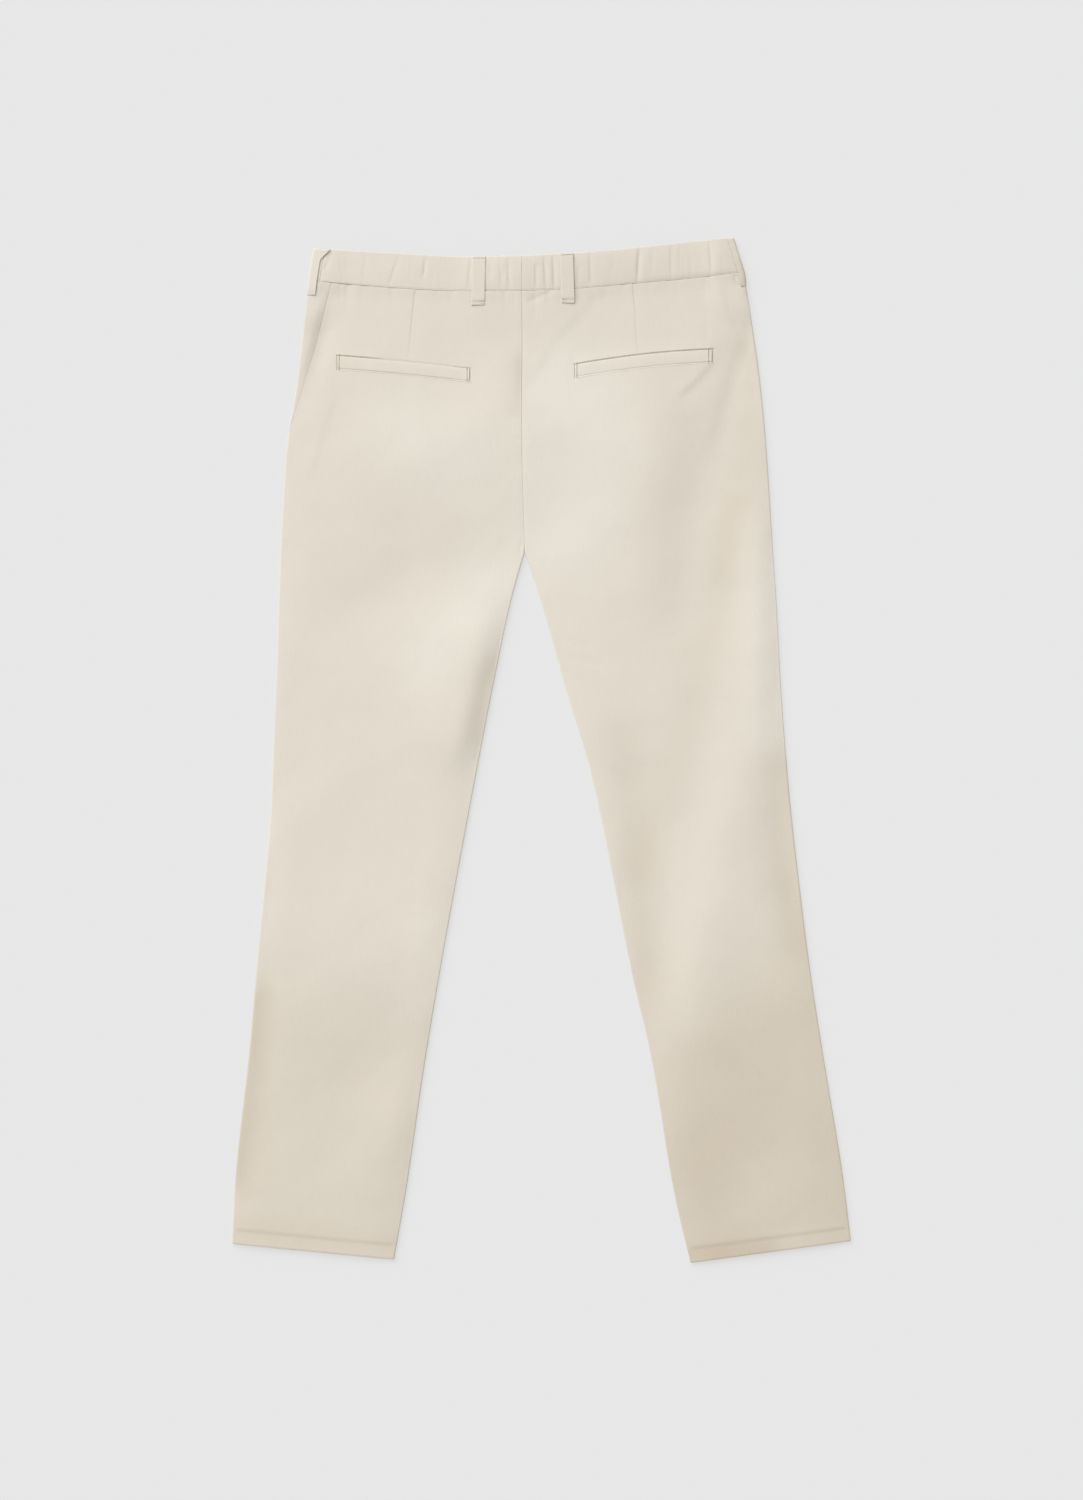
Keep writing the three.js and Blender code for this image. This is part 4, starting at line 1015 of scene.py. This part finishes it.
def front_band(side):
    """The front half, round the side edge and along the surface. The right half steps up over the left."""
    down = [(-1 + way / BAND_HEIGHT, depth) for way, depth in [
        (0, 1.5), (0.05, 0.9), (0.3, 0.45), (0.8, 0.1), (1.5, 0)]] + [
        (row, 0) for row in spaced(-1 + 1.5 / BAND_HEIGHT, -1.2 / BAND_HEIGHT, 14)] + [
        (-way / BAND_HEIGHT - 1e-6, depth) for way, depth in TURN_IN[::-1]]
    rows, depth = (np.array(part) for part in zip(*down))
    columns = []
    for index, travel in enumerate(round_to_front(side, BAND_RADIUS, 8)):
        turned = TURN_IN[index][1] if index < len(TURN_IN) else 0
        turned = np.maximum(depth, turned)
        columns.append(edge_point(side, rows, travel(rows), turned, BAND_RADIUS, band_face))
    for past in np.concatenate([spaced(0, 1, 60), [1.0001]]):
        width = width_of(side, rows)
        inset = np.where(past > 1, width + OVERLAP, mix(BAND_RADIUS, width + OVERLAP - 1, min(past, 1)))
        x, y = place(side, rows, inset, front=True)
        stepped = smooth(inset - width, -17 - OVERLAP_RAMP, -17) * BAND_STEP * (side == "right")
        columns.append((x, y, np.maximum(depth, 0.5 * (past > 1)) + lift(x, y) + stepped))
    return cloth_from(columns)


bands = {}
for side in ("left", "right"):
    for part, make, wall in (("back", back_band, BAND_WALL), ("front", front_band, BAND_WALL)):
        grids = make(side)
        name = f"band_{part}_{side}"
        flip = (side == "right") == (part == "back")
        bands[name] = shell(name, grids, wall, cloth_band, f"waistband_{part}_{side}", flip=flip)

# %% [markdown]
# ## Welts
# A welt is a strip folded along its upper edge and sewn in along its lower one. Down its height the profile
# is: up out of the mouth, round the fold, across, and down into the lower seam.

# %% Welts
# The way down from the mouth's line, and the height over the recessed cloth under it.
WELT_PROFILE = [(-1.2, -0.6), (-0.5, -0.55), (-0.15, -0.4), (-0.1, -0.1), (0.1, 0.12), (0.5, 0.26), (1.2, 0.36),
                (2.5, 0.46), (4.5, 0.56), (7, 0.62), (9.5, 0.64), (11.2, 0.62), (12.2, 0.58), (12.6, 0.5),
                (12.78, 0.3), (12.8, -0.1)]


def welt(side):
    (x1, _), (x2, _), _ = WELTS[side]
    along = np.concatenate([[x1, x1 + 0.05], spaced(x1 + 0.05, x2 - 0.05, 150), [x2]])
    end_depth = np.concatenate([[0.6], np.zeros(len(along) - 2), [0.6]])
    rows = []
    for way, height in WELT_PROFILE:
        y = mouth_line(side, along) - way
        under = height_on_back(along, mouth_line(side, along) - 6) - 0.06 * (way - 6) / 6
        rows.append((along, y, under + height - end_depth + 0.05 * np.sin(along * 0.31) * (way > 1)))
    x, y, z = (np.array(part) for part in zip(*rows))
    return with_cloth(x, y, z)


trims = {}
for side in ("left", "right"):
    name = f"welt_{side}"
    trims[name] = shell(name, welt(side), 0.55, cloth_trim, f"back_{side}_welt")

# %% [markdown]
# ## Belt loops
# A loop is a narrow strip folded in three, so its edges are round and it is thicker than the cloth. The back
# loops lie over the band and are tacked at its upper edge and below its seam. The side loops go round the
# edge, and the front ones are underneath.

# %% Belt loops
LOOP_WIDTH = 14
LOOP_WALL = 0.9
# x at the top and at the foot
BACK_LOOPS = {"left": (-65.6, -66.6), "right": (26.2, 27.8)}
FRONT_LOOPS = {"left": -125.7, "right": 84.3}
# The share of the half width, and how far the strip's edge has rolled down there.
LOOP_EDGE = [(0.2, 0.02), (0.5, 0), (0.82, 0), (0.94, 0.06), (0.985, 0.2), (1, 0.5), (1, 0.95)]
LOOP_ACROSS = [(-share, rolled) for share, rolled in LOOP_EDGE[::-1]] + LOOP_EDGE


def back_loop(side):
    top_x, foot_x = BACK_LOOPS[side]
    along = np.concatenate([[0, 0.002], spaced(0.002, 0.985, 56), [0.995, 1]])
    ends = np.concatenate([[0.8, 0.2], np.zeros(56), [0.25, 0.8]])
    centre = mix(top_x, foot_x, along)
    foot_y = seam_height(centre) - 15
    y = mix(top_height(centre) - 0.3, foot_y, along)
    drop = seam_height(centre) - y
    on_panel = height_on_back(centre, np.minimum(y, seam_height(centre) - 1.5)) + 0.3
    on_band = BAND_FACE + 0.9 + 0.05 + lift(centre, y)
    arch = 0.35 * np.sin(np.pi * along) ** 0.8
    tack = 0.35 * np.exp(-((along - 0.93) / 0.03) ** 2) + 0.3 * np.exp(-((along - 0.03) / 0.02) ** 2)
    face = mix(on_band, on_panel, smooth(drop, 1, 11)) + arch + 1.2
    z = face - 0.45 * smooth(along, 0.9, 0.98) - ends - tack
    columns = [(centre + share * LOOP_WIDTH / 2, y, z - rolled) for share, rolled in LOOP_ACROSS]
    return cloth_from(columns)


def side_loop(side, under_travel, over_travel, slant):
    """A loop round the side edge, from one way along the band to another. Its upper end may slant over."""
    rows = np.concatenate([[-0.99, -0.985], spaced(-0.985, 0, 30), spaced(0, 0.235, 12), [0.24]])
    ends = np.concatenate([[0.7, 0.15], np.zeros(38), [0.06, 0.15, 0.25, 0.35, 0.6]])
    out = BAND_RADIUS + 1.15 - 0.5 * smooth(rows, 0.1, 0.235)
    arc = BAND_RADIUS * math.pi / 2
    travels = np.concatenate([[under_travel] * 2, spaced(under_travel, over_travel, 34), [over_travel] * 2])
    edges = np.concatenate([[0.9, 0.5], [0.15], np.zeros(32), [0.15, 0.5, 0.9]])
    columns = []
    for travel, rolled in zip(travels, edges):
        travel = travel + slant * smooth(-rows, 0.6, 1.05) * smooth(travel, 0, over_travel)
        turn = np.clip(travel / BAND_RADIUS, -math.pi / 2, math.pi / 2)
        beyond = np.maximum(0, np.abs(travel) - arc)
        reach = out - rolled - ends
        x, y = place(side, rows, BAND_RADIUS - reach * np.cos(turn) + beyond)
        puffed = shoulder(beyond) * (BAND_FACE + 0.9 - 2 * BAND_RADIUS) * (travel > 0)
        z = BAND_RADIUS + reach * np.sin(turn) + puffed + lift(x, y)
        columns.append((x, y, np.maximum(z, 0.05)))
    return cloth_from(columns)


def front_loop(x_centre):
    side = "left" if x_centre < FLY_X else "right"
    inset = abs(x_centre - float(section(side, -1.0)[0][0]))
    top = float(place(side, -1.0, inset, front=True)[1])
    foot = float(place(side, 0.0, inset, front=True)[1]) - 15
    y = np.concatenate([[top, top], np.linspace(top - 0.3, foot + 0.3, 24), [foot, foot]])
    z = np.concatenate([[0.7, 0.2], np.zeros(24), [0.2, 0.7]])
    columns = [(np.full(len(y), x_centre + share * LOOP_WIDTH / 2), y, z + rolled)
               for share, rolled in LOOP_ACROSS]
    return cloth_from(columns)


# Where a side loop starts below the edge and ends above it, and how far its upper end slants.
SIDE_LOOPS = {"left": (-3.8, 10.1, 9), "right": (-9, 7.4, 0)}
for side in ("left", "right"):
    made = {"back": (back_loop(side), False), "side": (side_loop(side, *SIDE_LOOPS[side]), side == "right"),
            "front": (front_loop(FRONT_LOOPS[side]), True)}
    for part, (grids, flip) in made.items():
        name = f"loop_{part}_{side}"
        trims[name] = shell(name, grids, LOOP_WALL, cloth_trim, f"{part}_{side}_loop", flip=flip)

# %% [markdown]
# ## Stitches
# Sewing thread repeats along lines, so Geometry Nodes lays it: a line becomes a curve, the curve gets a
# point every few millimetres, and a small capsule stands at each. A bartack is the same with the stitches
# side by side, turned across the line. The inputs are the pitch, the stitch's length and width, its turn,
# and a seed.

# %% Stitch nodes
def stitch_tree():
    tree = bpy.data.node_groups.new("stitches", "GeometryNodeTree")
    for name, kind in (("Lines", "Geometry"), ("Pitch", "Float"), ("Length", "Float"), ("Width", "Float"),
                       ("Turn", "Float"), ("Seed", "Int"), ("Material", "Material")):
        tree.interface.new_socket(name, in_out="INPUT", socket_type=f"NodeSocket{kind}")
    tree.interface.new_socket("Stitches", in_out="OUTPUT", socket_type="NodeSocketGeometry")
    nodes, links = tree.nodes, tree.links
    given, result = nodes.new("NodeGroupInput"), nodes.new("NodeGroupOutput")
    curve = nodes.new("GeometryNodeMeshToCurve")
    links.new(given.outputs["Lines"], curve.inputs["Mesh"])
    spaced_out = nodes.new("GeometryNodeResampleCurve")
    spaced_out.mode = "LENGTH"
    links.new(curve.outputs["Curve"], spaced_out.inputs["Curve"])
    links.new(given.outputs["Pitch"], spaced_out.inputs["Length"])

    capsule = nodes.new("GeometryNodeMeshUVSphere")
    capsule.inputs["Segments"].default_value = 6
    capsule.inputs["Rings"].default_value = 4
    capsule.inputs["Radius"].default_value = 0.5
    rounded = nodes.new("GeometryNodeSetShadeSmooth")
    links.new(capsule.outputs["Mesh"], rounded.inputs["Geometry"])
    sizes = nodes.new("ShaderNodeCombineXYZ")
    links.new(given.outputs["Length"], sizes.inputs["X"])
    links.new(given.outputs["Width"], sizes.inputs["Y"])
    links.new(given.outputs["Width"], sizes.inputs["Z"])
    uneven = nodes.new("FunctionNodeRandomValue")
    uneven.data_type = "FLOAT_VECTOR"
    uneven.inputs["Min"].default_value = (0.9, 0.9, 0.9)
    uneven.inputs["Max"].default_value = (1.06, 1.1, 1.1)
    links.new(given.outputs["Seed"], uneven.inputs["Seed"])
    scaled = nodes.new("ShaderNodeVectorMath")
    scaled.operation = "MULTIPLY"
    links.new(sizes.outputs["Vector"], scaled.inputs[0])
    links.new(uneven.outputs["Value"], scaled.inputs[1])

    tangent = nodes.new("GeometryNodeInputTangent")
    along = nodes.new("FunctionNodeAlignRotationToVector")
    along.axis = "X"
    links.new(tangent.outputs["Tangent"], along.inputs["Vector"])
    turned = nodes.new("FunctionNodeRotateRotation")
    turned.rotation_space = "LOCAL"
    turn = nodes.new("ShaderNodeCombineXYZ")
    links.new(given.outputs["Turn"], turn.inputs["Z"])
    links.new(along.outputs["Rotation"], turned.inputs["Rotation"])
    links.new(turn.outputs["Vector"], turned.inputs["Rotate By"])

    copies = nodes.new("GeometryNodeInstanceOnPoints")
    links.new(spaced_out.outputs["Curve"], copies.inputs["Points"])
    links.new(rounded.outputs["Geometry"], copies.inputs["Instance"])
    links.new(turned.outputs["Rotation"], copies.inputs["Rotation"])
    links.new(scaled.outputs["Vector"], copies.inputs["Scale"])
    real = nodes.new("GeometryNodeRealizeInstances")
    links.new(copies.outputs["Instances"], real.inputs["Geometry"])
    finish = nodes.new("GeometryNodeSetMaterial")
    links.new(real.outputs["Geometry"], finish.inputs["Geometry"])
    links.new(given.outputs["Material"], finish.inputs["Material"])
    links.new(finish.outputs["Geometry"], result.inputs["Stitches"])
    return tree


STITCH_TREE = stitch_tree()


def sew(name, lines, material, pitch, length, width, turn=0.0, seed=3):
    """One mesh of stitches along lines of points, all in millimetres."""
    points = [tuple(point) for line in lines for point in np.asarray(line) * MM]
    starts = np.cumsum([0] + [len(line) for line in lines])
    edges = [(i, i + 1) for start, end in zip(starts, starts[1:]) for i in range(start, end - 1)]
    mesh = bpy.data.meshes.new(name)
    mesh.from_pydata(points, edges, [])
    piece = bpy.data.objects.new(name, mesh)
    scene.collection.objects.link(piece)
    sewing = piece.modifiers.new("sewing", "NODES")
    sewing.node_group = STITCH_TREE
    values = {"Pitch": pitch * MM, "Length": length * MM, "Width": width * MM, "Turn": turn, "Seed": seed,
              "Material": material}
    for socket in STITCH_TREE.interface.items_tree:
        if socket.name in values:
            sewing[socket.identifier] = values[socket.name]
    bpy.context.view_layer.update()
    sewn = bpy.data.meshes.new_from_object(piece.evaluated_get(bpy.context.evaluated_depsgraph_get()))
    piece.modifiers.clear()
    piece.data = sewn
    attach(piece, "root")
    print(name, len(sewn.polygons), "faces")
    return piece


print("stitch inputs:", [socket.name for socket in STITCH_TREE.interface.items_tree][1:])

# %% [markdown]
# The lines: both hems, the foot of the waistband, round the pocket mouths, the fly's curve on the hidden
# front, and bartacks at the pockets' ends and the loops' ends.

# %% Sewing lines
def on_back(x, y, above=0.06):
    """Points of a line laid on the backs."""
    x, y = np.broadcast_arrays(np.asarray(x, float), np.asarray(y, float))
    return np.stack([x, y, height_on_back(x, y) + above], axis=-1)


def across_leg(side, row, front=False, count=60):
    """A line across a leg at one section, on the back or underneath."""
    inset = np.linspace(3, float(width_of(side, row)) - 3, count)
    x, y = place(side, row, inset, front=front)
    z = lift(x, y) - 0.02 if front else back_face(side, row, inset) + 0.05
    return np.stack([x, y, z], axis=-1)


def along_band(side, front=False):
    """A line along the waistband, just above its seam."""
    row = -1.7 / BAND_HEIGHT
    travel = max(float(seam_travel(side, row)), 3) + 3
    inset = np.linspace(travel, float(width_of(side, row)) - 0.6, 120)
    x, y = place(side, row, inset, front=front)
    return np.stack([x, y, lift(x, y) - 0.02 if front else band_face(side, row, inset) + 0.04], axis=-1)


# How far in from a pocket's end its rows of tacking stitches lie: at its left end, and at each right end.
TACK_ASIDE = {"start": (-0.9, 1.6), "left": (-0.4, 2.6), "right": (-0.7, 3.6)}
seam_lines = []
tack_lines = []
for side in ("left", "right"):
    hem_row = HEM_ROW - (HEM_DEPTH - 0.8) / HEM_SPACING
    seam_lines += [across_leg(side, hem_row), across_leg(side, hem_row, front=True)]
    seam_lines += [along_band(side), along_band(side, front=True)]
    (x1, _), (x2, _), _ = WELTS[side]
    x = np.linspace(x1 - 1.5, x2 + 1.5, 80)
    seam_lines += [on_back(x, mouth_line(side, x) + 1.7), on_back(x, mouth_line(side, x) - WELT_HEIGHT - 1.2)]
    for end, inward in ((x1, 1), (x2, -1)):
        for aside in TACK_ASIDE["start" if inward > 0 else side]:
            at = end + inward * aside
            mouth_y = float(mouth_line(side, at))
            y = np.linspace(mouth_y + 1.4, mouth_y - WELT_HEIGHT - 1, 14)
            tack_lines.append(on_back(at, y, 0.68 if aside > 0 else 0.08))
    top_x, foot_x = BACK_LOOPS[side]
    foot_y = float(seam_height(foot_x)) - 15
    for down, lifted in ((1.6, 0.85), (4.4, 1.2)):
        x = np.linspace(foot_x - 6, foot_x + 6, 12)
        tack_lines.append(on_back(x, foot_y + down, lifted))
    x = np.linspace(top_x - 6, top_x + 6, 12)
    level = BAND_FACE + 0.9 + 0.05 + 1.2 + 0.02 + float(lift(np.array(top_x), np.array(520.0)))
    tack_lines.append(np.stack([x, top_height(x) - 2.2, np.full(12, level)], axis=-1))
    loop_x = FRONT_LOOPS[side]
    inset = abs(loop_x - float(section(side, -1.0)[0][0]))
    x = np.linspace(loop_x - 6, loop_x + 6, 12)
    for row, shift in ((-1.0, -2.2), (0.0, -13)):
        y = float(place(side, row, inset, front=True)[1]) + shift
        tack_lines.append(np.stack([x, np.full(12, y), np.full(12, -0.02)], axis=-1))

# the fly's curved line, on the front that laps over
turn = np.linspace(0, math.pi / 2, 16)
fly_top = float(place("left", 0.0, float(width_of("left", 0.0)) - 36, front=True)[1]) - 1
fly_x = np.concatenate([np.full(30, FLY_X - 36), FLY_X - 36 * np.cos(turn)])
fly_y = np.concatenate([np.linspace(fly_top, 346, 30), 346 - 38 * np.sin(turn)])
fly_hollow = fold_height(fly_x, fly_y, FRONT_FOLDS) * shoulder(FLY_X - fly_x - 3.2)
fly_z = lift(fly_x, fly_y) + fly_hollow - 0.02
seam_lines += [np.stack([fly_x, fly_y, fly_z], axis=-1)]

stitches = sew("stitches_seams", seam_lines, thread, pitch=2.9, length=2.3, width=0.42)
bartacks = sew("stitches_bartacks", tack_lines, painted_shade_tack_thread, pitch=0.4, length=0.8, width=0.34,
               turn=math.pi / 2, seed=8)

# %% [markdown]
# ## Zip, shield and button
# These keep their CAD shapes and only get better materials. They have no cloth coordinates, so their
# patterns use the object's own coordinates, in metres.

# %% Materials of the fly
def patterned(name, base, other, scale, roughness, bump, bands=False):
    """A material with two tones and a bump, from noise or bands in the object's coordinates."""
    material, nodes, links = make_nodes(name)
    shader = nodes["Principled BSDF"]
    shader.inputs["Roughness"].default_value = roughness
    where = nodes.new("ShaderNodeTexCoord")
    stretch = nodes.new("ShaderNodeMapping")
    stretch.inputs["Scale"].default_value = scale
    links.new(where.outputs["Object"], stretch.inputs["Vector"])
    field = nodes.new("ShaderNodeTexWave" if bands else "ShaderNodeTexNoise")
    field.inputs["Scale"].default_value = 1
    if bands:
        field.bands_direction = "Y"
        field.inputs["Distortion"].default_value = 0.4
    else:
        field.inputs["Detail"].default_value = 4
        field.inputs["Distortion"].default_value = 1.2
    links.new(stretch.outputs["Vector"], field.inputs["Vector"])
    links.new(two_tones(nodes, links, field.outputs["Fac"], base, other), shader.inputs["Base Color"])
    raised(nodes, links, field.outputs["Fac"], bump, 0.2 * MM)
    return material


TAPE = linear(214, 206, 190), linear(196, 187, 170)
SHIELD = linear(222, 212, 196), linear(210, 199, 181)
HORN = linear(206, 188, 160), linear(172, 148, 118)
FLY_FINISHES = {
    "fly_zip": patterned("zip_tape", *TAPE, (300, 450, 300), roughness=0.8, bump=0.5, bands=True),
    "fly_shield": patterned("shield_cloth", *SHIELD, (700, 420, 300), roughness=0.9, bump=0.4),
    "waist_button": patterned("horn", *HORN, (60, 190, 60), roughness=0.32, bump=0.05),
}
for node, material in FLY_FINISHES.items():
    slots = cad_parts[node].material_slots
    for slot in slots:
        slot.material = material
    print(node, "has", len(slots), "slot with", material.name)

# %% [markdown]
# ## Finish
# The sewn-on trim of each cut piece of cloth, and the stitches, are gathered with the piece that carries them.

# %% Finish
SEWN_ON = {
    "back_left_leg": ["welt_left"], "back_right_leg": ["welt_right"],
    "band_back_left": ["loop_back_left", "loop_side_left"],
    "band_back_right": ["loop_back_right", "loop_side_right"],
    "band_front_left": ["loop_front_left"], "band_front_right": ["loop_front_right"],
}
for name, piece in {**legs, **bands}.items():
    sewn_on = [trims[trim] for trim in SEWN_ON.get(name, [])]
    sewn_on += [stitches, bartacks] if name == "back_left_leg" else []
